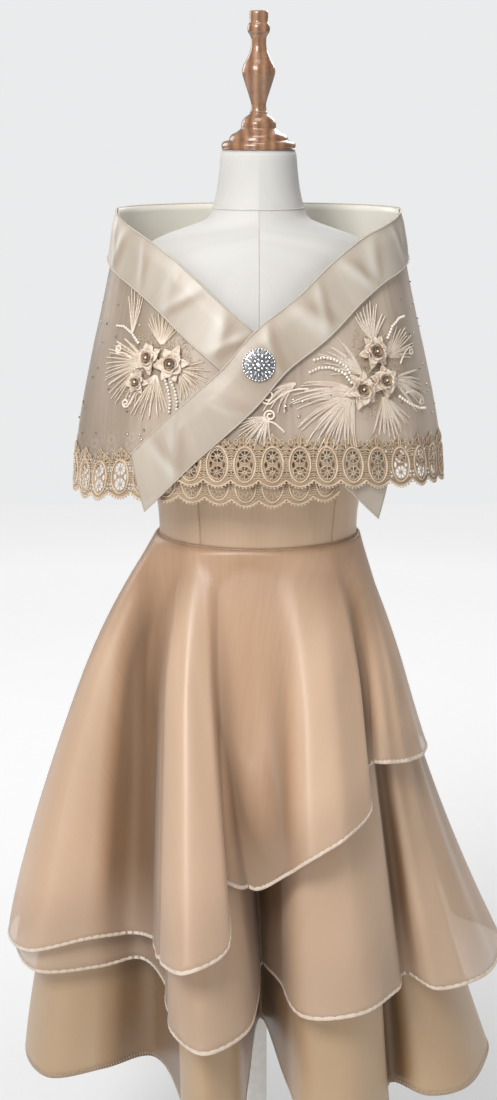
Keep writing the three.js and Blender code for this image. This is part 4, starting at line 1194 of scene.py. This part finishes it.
def capeBand(name, edge, way, out):  # way is 1 where the free end comes last on the edge
    count = bandLook["columns"]
    line, tangent = curveThrough(edge, count)
    t = np.linspace(0.001, 0.999, count)
    near = t if way > 0 else 1 - t  # 1 at the free end, which is cut square
    down = bandRows()
    across = down * bandLook["width"]
    slide = bandLook["skew"] * down * smooth((near - 0.55) / 0.45) * way
    square = smooth((0.22 - near) / 0.22)[:, None]
    side = np.stack([tangent[:, 1], -tangent[:, 0]], axis=-1)
    side = unit(side * (1 - square) + np.array([[0, -1.0]]) * square)
    along = line[:, 0] + side[:, 0] * across + tangent[:, 0] * slide
    z = line[:, 1] + side[:, 1] * across + tangent[:, 1] * slide
    pulls = puckerLift(t[None, :], down)
    grid = onCape(along, z, bandOut(across) + out(along) + pulls)
    blush = np.exp(-(((along - 10) / 90) ** 2 + ((z - 195) / 70) ** 2))  # darker and warmer round where the bands cross
    puckerShading = bandLook["puckerShadingStrength"] * np.gradient(pulls, axis=1)
    # painted shade and painted highlight: one side of each pucker darker and the other paler, and the band
    # darker towards its lower end
    bandPiece(name, grid, 0.42 * blush - puckerShading + 0.18 * smooth((165 - z) / 60))


def backBand():
    count = bandLook["columns"]
    gap = bandLook["gap"]
    along = np.linspace(sideAlong + gap, fullGirth - sideAlong - gap, count)[None, :]
    down = bandRows()
    across = down * bandLook["width"]
    pulls = puckerLift(np.linspace(0, 1, count)[None, :] * 0.7 + 0.1, down) * 0.45
    grid = onCape(along, capeLook["top"] - across, bandOut(across) + pulls)
    # painted shade and painted highlight on the two sides of each pucker
    bandPiece("band_back", grid, -bandLook["puckerShadingStrength"] * np.gradient(pulls, axis=1))


capeFront("capelet_left", lowerEdge, lowerHem, -sideAlong, 100, noLap)
capeFront("capelet_right", upperEdge, upperHem, -96, sideAlong, lapOut)
capeBack()
capeBand("band_left", lowerEdge, 1, noLap)
capeBand("band_right", upperEdge, -1, lapOut)
backBand()
print("capelet made")


# Lace border
laceLook = {"pitch": 27.8, "height": 58, "valley": 45, "dip": 7, "repeats": 22, "ovalHigh": 24,
            "ovalHalf": 10.8, "ovalTall": 19.0, "cord": 1.9, "fine": 0.75, "picots": 8, "medallion": 8.6,
            "wheel": 7.0, "hub": 2.2, "spokes": 8, "shareOfBox": 0.8}
laceMiddle = laceLook["pitch"] / 2
laceLength = laceLook["pitch"] * laceLook["repeats"]
wheelHeights = [laceLook["ovalHigh"] + way * laceLook["medallion"] for way in (1, -1)]


def ellipse(x, y, halfWide, halfTall, count, start=0, end=360):
    turned = np.radians(np.linspace(start, end, count))
    flat = np.zeros(count)
    return np.stack([x + halfWide * np.sin(turned), y - halfTall * np.cos(turned), flat], axis=-1)


def scallop(t):  # height of the lower edge along one repeat
    return laceLook["dip"] * np.abs(1 - 2 * t) ** 2


def ovalGap(y):  # room from the edge of a repeat to its oval
    inside = max(0, 1 - ((y - laceLook["ovalHigh"]) / laceLook["ovalTall"]) ** 2)
    return laceMiddle - laceLook["ovalHalf"] * math.sqrt(inside)


def laceOutline():
    look = laceLook
    t = np.linspace(0, 1, 9)
    bottom = np.stack([t * look["pitch"], scallop(t), t * 0], axis=-1)
    peak = look["valley"] + (look["height"] - look["valley"]) * (1 - np.abs(1 - 2 * t[::-1]) ** 0.9)
    top = np.stack([t[::-1] * look["pitch"], peak, t * 0], axis=-1)
    return np.concatenate([bottom, top])


def wedge(x, y, near, far, start, end):  # one cell of a wheel
    turned = np.radians(np.linspace(start, end, 4))
    outer = np.stack([x + far * np.sin(turned), y + far * np.cos(turned)], axis=-1)
    inner = np.stack([x + near * np.sin(turned[::-1]), y + near * np.cos(turned[::-1])], axis=-1)
    points = np.concatenate([outer, inner])
    return np.concatenate([points, np.zeros((len(points), 1))], axis=1)


def laceCells():  # open cells of one repeat
    cells = []
    for y in wheelHeights:
        for k in range(laceLook["spokes"]):
            cells.append(wedge(laceMiddle, y, 2.6, 6.6, k * 45 + 5, k * 45 + 40))
    for side in (-1, 1):
        cells.append(ellipse(laceMiddle + side * 6.6, laceLook["ovalHigh"], 1.5, 3.4, 9)[:-1])
        for y in np.arange(11.5, 43, 3.9):  # net between two ovals
            gap = ovalGap(y)
            x = laceMiddle + side * (laceMiddle - gap / 2 + 0.45)
            if gap > 3.6:
                cells.append(ellipse(x, y, min(1.5, gap / 2 - 1.1), 1.25, 7)[:-1])
        for x, y in ((3.2, 45.6), (3.4, 50.2), (7.0, 46.2), (10.3, 44.6)):
            cells.append(ellipse(laceMiddle + side * x, y, 1.15, 1.3, 7)[:-1])
    return cells


def laceCords():
    look = laceLook
    t = np.linspace(0, 1, 13)
    heavy = [ellipse(laceMiddle, look["ovalHigh"], look["ovalHalf"], look["ovalTall"], 33),
             np.stack([t * look["pitch"], scallop(t) + 0.4, t * 0], axis=-1)]
    fine = []
    for side in (-1, 1):
        peak = look["valley"] + (look["height"] - look["valley"]) * (1 - (1 - t) ** 0.9) - 0.4
        fine.append(np.stack([laceMiddle + side * laceMiddle * (1 - t), peak, t * 0], axis=-1))
        bow = np.sin(t * math.pi) * 1.5
        fine.append(np.stack([laceMiddle + side * bow, 43 + (look["height"] - 45) * t, t * 0 + 0.4], axis=-1))
        fine.append(ellipse(laceMiddle + side * 9.2, 48.0, 2.2, 3.4, 13))
    reach = np.linspace(2.0, look["wheel"], 3)[:, None]
    for y in wheelHeights:
        fine.append(ellipse(laceMiddle, y, look["hub"], look["hub"], 10))
        fine.append(ellipse(laceMiddle, y, look["wheel"], look["wheel"], 21))
        for k in range(look["spokes"]):
            a = math.radians(k * 45)
            fine.append(np.array([[laceMiddle, y, 0.1]]) + reach * np.array([[math.sin(a), math.cos(a), 0]]))
    for y in np.arange(9.5, 43, 2.6):  # slanting bullion bars between two ovals
        gap = ovalGap(y)
        for x, way in ((0.0, 1), (look["pitch"], -1)):
            fine.append(np.array([[x, y + 0.5, 0.3], [x + way * gap * 0.5, y - 0.5, 0.5],
                                  [x + way * gap * 0.92, y + 0.3, 0.3]]))
    return heavy, fine


def bentOnCape(piece, start, hem, out):
    count = len(piece.data.vertices)
    flat = np.empty(count * 3)
    piece.data.vertices.foreach_get("co", flat)
    flat = flat.reshape(-1, 3)
    along = start + flat[:, 0]
    z = between(hem, "along", along, "z") + flat[:, 1]
    points = inFrame(onCape(along, z, out(along) + flat[:, 2]))
    piece.data.vertices.foreach_set("co", points.ravel())
    piece.data.update()
    return piece


def laceBeads():  # picots on the lower edge, then beads at the foot of each oval and in its wheels
    look = laceLook
    t = (np.arange(look["picots"] * look["repeats"]) + 0.5) / look["picots"]
    rows = [np.stack([t * look["pitch"], scallop(t % 1) - 1.5, t * 0 + 1.0], axis=-1)]
    turned = np.radians(np.arange(-84, 85, 14))
    heart = np.radians(np.arange(0, 360, 60))
    for i in range(look["repeats"]):
        x = i * look["pitch"] + laceMiddle
        foot = [x + (look["ovalHalf"] - 2.4) * np.sin(turned),
                look["ovalHigh"] - (look["ovalTall"] - 2.4) * np.cos(turned), turned * 0 + 0.5]
        rows.append(np.stack(foot, axis=-1))
        for y in wheelHeights:
            wheel = [x + 1.2 * np.sin(heart), y + 1.2 * np.cos(heart), heart * 0 + 0.62]
            rows.append(np.stack(wheel, axis=-1))
    return np.concatenate(rows)


def lace(name, start, hem, out):
    look = laceLook
    repeat = {"Repeats": look["repeats"], "Pitch": look["pitch"], "Smooth": True}
    lift = capeLook["laceLift"]
    outlines = pointSource(*chained([laceOutline(), *laceCells()], True), {})
    net = grown(name + "_net", outlines, trees["net"], {**repeat, "Finish": looks["laceNet"]})
    bentOnCape(joinedEnds(net), start, hem, lambda along: out(along) + lift - 0.5)
    heavy, fine = laceCords()
    pieces = []
    kinds = (("cords", heavy, look["cord"], 5), ("threads", fine, look["fine"], 4))
    for label, lines, thickness, sides in kinds:
        source = chainSource(lines, [np.ones(len(line)) for line in lines])
        values = {**repeat, "Thickness": thickness, "Sides": sides, "Finish": looks["laceCord"]}
        made = grown(f"{name}_{label}", source, trees["cords"], values)
        pieces.append(bentOnCape(made, start, hem, lambda along: out(along) + lift + 0.1))
    rows = laceBeads()
    along = start + rows[:, 0]
    z = between(hem, "along", along, "z") + rows[:, 1]
    here, outs, courses = onCapeAxes(along, z, out(along) + lift + 0.3, np.zeros(len(rows)))
    spots = list(zip(here, outs, courses, rows[:, 2]))
    pieces.append(beads(name + "_picots", spots, (2.5, 2.5, 2.0, 5, 3, True), looks["laceCord"]))
    settle(net, "lace", name)
    for piece in pieces:
        settle(piece, "lace")


backSeam = fullGirth / 2 - 0.3
lace("lace_left", -backSeam, lowerHem, noLap)
lace("lace_right", backSeam - laceLength, upperHem, lapOut)
print("lace made")


# Embroidery and ribbon roses
fanNames = "along z first last count length bend width"
rightFans = table(fanNames, [
    (106, 186, 148, 260, 25, 76, 30, 4.6), (101, 178, 166, 252, 14, 50, 22, 4.0),
    (117, 204, 106, 170, 10, 54, 24, 4.4), (136, 238, 50, 130, 11, 42, -10, 4.0),
    (152, 220, 0, 70, 11, 52, -16, 4.2), (153, 196, -50, 14, 10, 60, -18, 4.4),
    (139, 180, -110, -36, 12, 52, -10, 4.4), (10, 162, 176, 270, 14, 36, 14, 3.6),
    (42, 198, 176, 218, 6, 46, 52, 4.0),
])
leftFans = table(fanNames, [
    (-134, 216, 132, 254, 24, 62, 18, 4.4), (-118, 206, 212, 294, 15, 54, 10, 4.2),
    (-116, 236, 50, 138, 14, 42, -8, 4.0), (-94, 212, -74, 24, 13, 40, -14, 4.0),
    (-160, 246, 70, 112, 6, 58, 10, 3.6),
])
roseNames = "along z turn radius"
rightRoses = table(roseNames, [(113, 187, 10, 14.5), (142, 195, 35, 13.5), (135, 228, 60, 14)])
leftRoses = table(roseNames, [(-101, 217, 0, 14.5), (-131, 222, 40, 13), (-141, 194, 70, 10)])
petalRings = table("count reach width lift cup seat point", [
    (6, 1.22, 0.80, 2.0, 1.4, 0.25, 0.75), (5, 0.88, 1.05, 4.0, 2.6, 0.2, 0.45),
    (4, 0.56, 0.95, 5.6, 3.0, 0.18, 0.42),
])
embroideryLook = {"stitchPitch": 2.25, "lift": 0.7, "barb": (1.2, 7.6, 1.15, 4, 3, True), "barbSize": 6.0,
                  "quill": 1.1, "ground": (0.95, 4.4, 0.85, 4, 3, True), "groundCount": 420, "groundNear": 7,
                  "groundFar": 33, "petalWall": 0.5, "pearl": 3.7, "pearlPitch": 3.9, "scroll": 2.4,
                  "stone": (2.4, 2.4, 1.9, 6, 4, False), "stoneBelow": 78, "stoneAbove": 64}


def plume(start, heading, length, bend, width, out):  # fine slanting barbs on both sides of a bending quill
    look = embroideryLook
    steps = int(length / look["stitchPitch"])
    t = (np.arange(steps) + 0.5) / steps
    way = np.radians(heading + bend * t)
    along = start[0] + np.cumsum(np.cos(way)) * length / steps
    z = start[1] + np.cumsum(np.sin(way)) * length / steps
    reach = width * (0.45 + 0.75 * np.sin(np.pi * t ** 0.8)) * (1.15 - 0.45 * t)
    spots = []
    for side in (-1, 1):
        slant = way + side * np.radians(30 - 12 * t)
        x = along + np.cos(slant) * reach * 0.5
        y = z + np.sin(slant) * reach * 0.5
        lift = out(x) + look["lift"] + 0.25 * (np.arange(steps) % 2)
        spots += list(zip(*onCapeAxes(x, y, lift, slant), reach / look["barbSize"]))
    quill = onCape(along, z, out(along) + look["lift"] + 0.8)
    return spots, quill


def oneSpot(along, z, lift, heading, size):  # place, outward direction, course and size of one bead
    here, outs, course = onCapeAxes(np.array([along]), np.array([z]), lift, np.array([heading]))
    return here[0], outs[0], course[0], size


def embroidery(name, fans, centres, out, material):
    look = embroideryLook
    spots = []
    quills = []
    for fan in rowsOf(fans):
        count = int(fan["count"])
        for k in range(count):
            t = (k + 0.5) / count
            heading = fan["first"] + (fan["last"] - fan["first"]) * t + dice.uniform(-3, 3)
            length = fan["length"] * (0.76 + 0.24 * math.sin(math.pi * t)) * dice.uniform(0.86, 1.08)
            bend = fan["bend"] * dice.uniform(0.6, 1.2)
            stitches, quill = plume((fan["along"], fan["z"]), heading, length, bend, fan["width"], out)
            spots += stitches
            quills.append(quill)
    settle(beads(name + "_fans", spots, look["barb"], looks[material]), "flowers", name)
    ribs = tubes(name + "_quills", quills, look["quill"], looks["stitch"], lambda t: 1.15 - 0.8 * t, 4)
    settle(ribs, "flowers")
    ground = []
    for rose in rowsOf(centres):
        for _ in range(look["groundCount"]):  # close gold ground round each rose
            turn = dice.uniform(0, 2 * math.pi)
            far = dice.uniform(look["groundNear"], look["groundFar"])
            x = rose["along"] + far * math.cos(turn)
            y = rose["z"] + far * math.sin(turn)
            slant = turn + dice.uniform(-0.5, 0.5)
            ground.append(oneSpot(x, y, out([x]) + 0.4, slant, dice.uniform(0.6, 1.1)))
    settle(beads(name + "_ground", ground, look["ground"], looks["goldStitch"]), "flowers")


def petalGrid(length, width, lift, cup, turn, seat, point):  # one ribbon petal, flat round the rose's middle
    t = np.linspace(0, 1, 9)[:, None]
    s = np.linspace(-1, 1, 7)[None, :]
    wide = width / 2 * np.sin(np.pi * np.clip(0.14 + 0.86 * t, 0, 1)) ** point * (1 - 0.18 * t)
    x = seat + length * t
    y = wide * s
    up = 1.0 + lift * np.sin(t * 2.1) + cup * s * s * np.sin(np.pi * np.clip(t, 0.05, 0.95))
    up = up + 0.5 * np.sin(s * 5 + turn) * t
    cosine, sine = math.cos(math.radians(turn)), math.sin(math.radians(turn))
    return np.stack([x * cosine - y * sine, x * sine + y * cosine, up + 0 * s], axis=-1)


def onRose(flat, one, out):
    along = one["along"] + flat[..., 0]
    z = one["z"] + flat[..., 1]
    return onCape(along, z, out(along) + embroideryLook["lift"] + flat[..., 2])


def gathered(name, grids, material):  # several small sheets as one thin piece
    points = []
    faces = []
    start = 0
    for grid in grids:
        points.append(grid.reshape(-1, 3))
        faces.append(gridFaces(*grid.shape[:2])[:, ::-1] + start)
        start += len(points[-1])
    piece = meshObject(name, np.concatenate(points), np.concatenate(faces), material)
    wall = piece.modifiers.new("thickness", "SOLIDIFY")
    wall.thickness = embroideryLook["petalWall"] * mm
    settle(piece, "flowers")


def roses(name, rows, out):
    petals = []
    ribbons = []
    pearls = []
    for one in rowsOf(rows):
        big = one["radius"]
        for ring, shape in enumerate(rowsOf(petalRings)):
            count = int(shape["count"])
            for k in range(count):
                turn = one["turn"] + 360 * (k + ring * 0.5) / count + dice.uniform(-9, 9)
                far = big * shape["reach"] * dice.uniform(0.88, 1.1)
                flat = petalGrid(far, big * shape["width"], shape["lift"], shape["cup"], turn,
                                 big * shape["seat"], shape["point"])
                petals.append(onRose(flat, one, out))
        t = np.linspace(0, 1, 60)[None, :]  # the rolled ribbon in the middle
        high = np.linspace(0, 1, 4)[:, None]
        coil = t * 2 * math.pi * 2.4 + math.radians(one["turn"])
        radius = big * (0.1 + 0.44 * t) + high * 1.6 + 0.35 * np.sin(coil * 3.7)
        lift = 3.6 + (5.8 - 1.6 * t) * high
        rolled = np.stack([radius * np.cos(coil), radius * np.sin(coil), lift], axis=-1)
        ribbons.append(onRose(rolled, one, out))
        pearls.append(oneSpot(one["along"], one["z"], out([one["along"]]) + 8.6, 0, 0.85))
    gathered(name + "_petals", petals, looks["petal"])
    gathered(name + "_hearts", ribbons, looks["roseHeart"])
    return pearls


def pearlString(points, out):  # pearls at an even pitch along a drawn line
    line = np.array(points, float)
    steps = np.concatenate([[0], np.cumsum(np.linalg.norm(np.diff(line, axis=0), axis=1))])
    at = np.arange(0, steps[-1], embroideryLook["pearlPitch"])
    along = np.interp(at, steps, line[:, 0])
    z = np.interp(at, steps, line[:, 1])
    here, outs, courses = onCapeAxes(along, z, out(along) + 2.6, np.zeros(len(at)))
    return list(zip(here, outs, courses, np.linspace(1.05, 0.8, len(at))))


rightStrings = [
    [(104, 200), (98, 214), (86, 222), (72, 225), (58, 222)],
    [(102, 196), (94, 207), (80, 214), (66, 214), (54, 209)],
    [(156, 242), (166, 254), (180, 262), (194, 264)], [(160, 176), (174, 166), (190, 160), (206, 158)],
]
leftStrings = [
    [(-108, 202), (-102, 190), (-98, 176), (-98, 162)], [(-101, 201), (-94, 189), (-90, 176), (-90, 164)],
    [(-148, 238), (-160, 248), (-174, 254), (-188, 254)],
]


def curl(x, z, radius, turns, heading, length, out):  # a stem that ends in a coil
    t = np.linspace(0, 1, 40)
    stem = np.stack([x + length * (1 - t) * math.cos(heading), z + length * (1 - t) * math.sin(heading)
                     + np.sin(t * math.pi) * length * 0.12], axis=-1)
    coil = np.radians(np.linspace(0, 360 * turns, 46))
    shrink = radius * (1 - 0.75 * np.linspace(0, 1, 46))
    across = x - radius * math.sin(heading)
    high = z + radius * math.cos(heading)
    course = heading - coil
    spin = np.stack([across + shrink * np.sin(course), high - shrink * np.cos(course)], axis=-1)
    line = np.concatenate([stem[:-1], spin])
    return onCape(line[:, 0], line[:, 1], out(line[:, 0]) + embroideryLook["lift"] + 0.5)


def scrolls(name, rows, out):
    lines = [curl(*row, out) for row in rows]
    width = embroideryLook["scroll"]
    settle(tubes(name + "_scrolls", lines, width, looks["stitch"], lambda t: 1.2 - 0.6 * t), "flowers")


def rhinestones(name, zone, count, edge, hem, out):
    look = embroideryLook
    spots = []
    while len(spots) < count:
        along = dice.uniform(*zone)
        top = float(between(edge, "along", along, "z")) - look["stoneBelow"]
        low = float(between(hem, "along", along, "z")) + look["stoneAbove"]
        z = dice.uniform(low, max(low + 1, top))
        if z < top:
            heading = dice.uniform(0, 3.1)
            spots.append(oneSpot(along, z, out([along]) + 0.9, heading, dice.choice((0.8, 1.0, 1.2))))
    settle(beads(name + "_rhinestones", spots, look["stone"], looks["smokyStone"]), "crystal")


embroidery("flowers_right", rightFans, rightRoses, lapOut, "stitch")
embroidery("flowers_left", leftFans, leftRoses, noLap, "goldStitch")
hearts = roses("flowers_right", rightRoses, lapOut) + roses("flowers_left", leftRoses, noLap)
for strings, out in ((rightStrings, lapOut), (leftStrings, noLap)):
    for line in strings:
        hearts += pearlString(line, out)
pearl = embroideryLook["pearl"]
pearls = beads("embroidery_pearls", hearts, (pearl, pearl, pearl * 0.9, 10, 7, True), looks["pearl"])
settle(pearls, "flowers")
scrolls("flowers_right", [
    (12, 176, 8.5, 1.6, 0.35, 44), (8, 158, 6.5, 1.5, -0.6, 22), (190, 228, 5, 1.3, 3.8, 26),
    (200, 172, 5, 1.3, 2.9, 30),
], lapOut)
scrolls("flowers_left", [(-178, 224, 5, 1.3, -0.2, 24), (-150, 168, 5, 1.3, 1.0, 26)], noLap)
rhinestones("flowers_right", (20, 255), 46, upperEdge, upperHem, lapOut)
rhinestones("flowers_left", (-255, -70), 34, lowerEdge, lowerHem, noLap)
print("embroidery made")


# Brooch
broochLook = {"height": 218, "clearance": 0.9, "petals": 16, "petalShare": 0.035, "radius": 18}
broochProfile = [  # radius and height above the cloth
    (0, 3.2), (7, 3.2), (12, 2.8), (15.4, 2.4), (17, 2.0), (17.8, 1.1), (17.4, 0.2), (16.6, 0), (0, 0),
]
stoneRings = table("count radius size height long", [
    (8, 5.6, 0.8, 4.4, 0), (8, 9.6, 1.0, 4.0, 1), (16, 11.4, 0.62, 3.8, 0), (16, 14.8, 0.86, 3.2, 1),
    (32, 17.6, 0.42, 2.4, 0),
])


def brooch():
    look = broochLook
    lift = bandLook["lift"] + capeLook["lapLift"] + look["clearance"]
    seat = onCape(0.0, look["height"], lift)
    ahead = unit(onCape(0.0, look["height"], lift + 5) - seat)
    right = unit(np.cross([0, 0, 1.0], ahead))
    up = np.cross(ahead, right)

    def at(x, y, out):
        return seat + right * x + up * y + ahead * out

    def rim(r, a):  # the edge is scalloped, and the middle is round
        return r * (1 + look["petalShare"] * r / look["radius"] * math.cos(look["petals"] * a))

    turned = np.radians(np.arange(96) * 3.75)
    grid = np.array([[at(math.sin(a) * rim(r, a), -math.cos(a) * rim(r, a), z) for a in turned]
                     for r, z in broochProfile])
    plate = rightWayOut(joinedEnds(gridPiece("brooch_setting", grid, looks["setting"], ring=True)))
    settle(plate, "crystal", "brooch")
    stones = ([(at(0, 0, 5.0), ahead, up, 1.7)], [])  # round ones, the largest in the middle, and long ones
    prongs = []
    for i, ring in enumerate(rowsOf(stoneRings)):
        count = int(ring["count"])
        for k in range(count):
            a = 2 * math.pi * (k + (i % 2) * 0.5) / count
            radial = right * math.sin(a) + up * math.cos(a)
            place = seat + radial * ring["radius"] + ahead * ring["height"]
            stones[int(ring["long"])].append((place, ahead, radial, ring["size"]))
            b = a + math.pi / count
            side = right * math.sin(b) + up * math.cos(b)
            prongs.append((seat + side * ring["radius"] + ahead * (ring["height"] + 0.3), ahead, side, 1.0))
    roundStones, longStones = stones
    settle(beads("brooch_round_stones", roundStones, (4.0, 4.0, 3.0, 8, 4, False), looks["stone"]), "crystal")
    settle(beads("brooch_long_stones", longStones, (2.7, 5.6, 2.6, 6, 4, False), looks["stone"]), "crystal")
    settle(beads("brooch_prongs", prongs, (0.9, 0.9, 1.3, 6, 4, True), looks["silver"]), "crystal")


brooch()
print("brooch made")


# Floor, light and camera
studio = {"floorSize": 9.0, "cameraPlace": (-0.0115, -2.0, 1.52), "cameraPitch": 75.3, "lens": 55.7,
          "lights": [("key", (-1.0, -2.0, 2.7), 53, 1.0), ("fill", (2.2, -1.9, 1.6), 6, 1.6),
                     ("top", (-0.1, -0.5, 3.2), 14, 0.9), ("low", (-1.2, -2.2, 0.9), 4, 1.2),
                     ("rim", (0.9, 2.3, 2.5), 26, 1.2), ("rimLeft", (-1.8, 1.7, 2.0), 16, 1.2)],
          "aimHeight": 1.0, "ambient": 0.27, "backdrop": 0.86, "nearGlow": 0.10, "farGlow": 0.58}


def floor():
    half = studio["floorSize"] / 2
    mesh = bpy.data.meshes.new("studio_floor")
    corners = [(-half, -half, 0), (half, -half, 0), (half, half, 0), (-half, half, 0)]
    mesh.from_pydata(corners, [], [(0, 1, 2, 3)])
    paper = Finish("floorPaper", Roughness=0.9)
    tone = paper.noise(paper.place(), 3.0, 2.0)
    paper.feed("Base Color", paper.mixed(tone, (0.80, 0.80, 0.80), (0.83, 0.83, 0.83)))
    paper.shader.inputs["Emission Strength"].default_value = 1.0
    out = paper.node("ShaderNodeVectorMath", {"operation": "LENGTH"}, {0: paper.place()}, out="Value")
    far = paper.ranged(out, 0.6, 3.6)
    near, distant = [(studio[glow],) * 3 for glow in ("nearGlow", "farGlow")]
    paper.feed("Emission Color", paper.mixed(far, near, distant))
    mesh.materials.append(paper.material)
    ground = bpy.data.objects.new("studio_floor", mesh)
    bpy.context.scene.collection.objects.link(ground)


def lights():
    for name, place, power, size in studio["lights"]:
        data = bpy.data.lights.new(name, "AREA")
        data.energy = power
        data.size = size
        lamp = bpy.data.objects.new(name, data)
        lamp.location = place
        aim = Vector((0, 0, studio["aimHeight"])) - Vector(place)
        lamp.rotation_euler = aim.to_track_quat("-Z", "Y").to_euler()
        bpy.context.scene.collection.objects.link(lamp)
    world = bpy.data.worlds.new("studio")
    world.use_nodes = True
    tree = world.node_tree
    sky = tree.nodes["Background"]
    sky.inputs["Color"].default_value = (0.96, 0.965, 0.975, 1)
    seen = tree.nodes.new("ShaderNodeLightPath")  # a paler backdrop than the light it gives
    level = tree.nodes.new("ShaderNodeMapRange")
    level.inputs["To Min"].default_value = studio["ambient"]
    level.inputs["To Max"].default_value = studio["backdrop"]
    tree.links.new(seen.outputs["Is Camera Ray"], level.inputs["Value"])
    tree.links.new(level.outputs["Result"], sky.inputs["Strength"])
    bpy.context.scene.world = world


def camera():
    data = bpy.data.cameras.new("camera")
    data.lens = studio["lens"]
    eye = bpy.data.objects.new("camera", data)
    eye.location = studio["cameraPlace"]
    eye.rotation_euler = (math.radians(studio["cameraPitch"]), 0, 0)
    bpy.context.scene.collection.objects.link(eye)
    bpy.context.scene.camera = eye


floor()
lights()
camera()
bpy.context.scene.view_settings.view_transform = "Standard"
print("studio made")
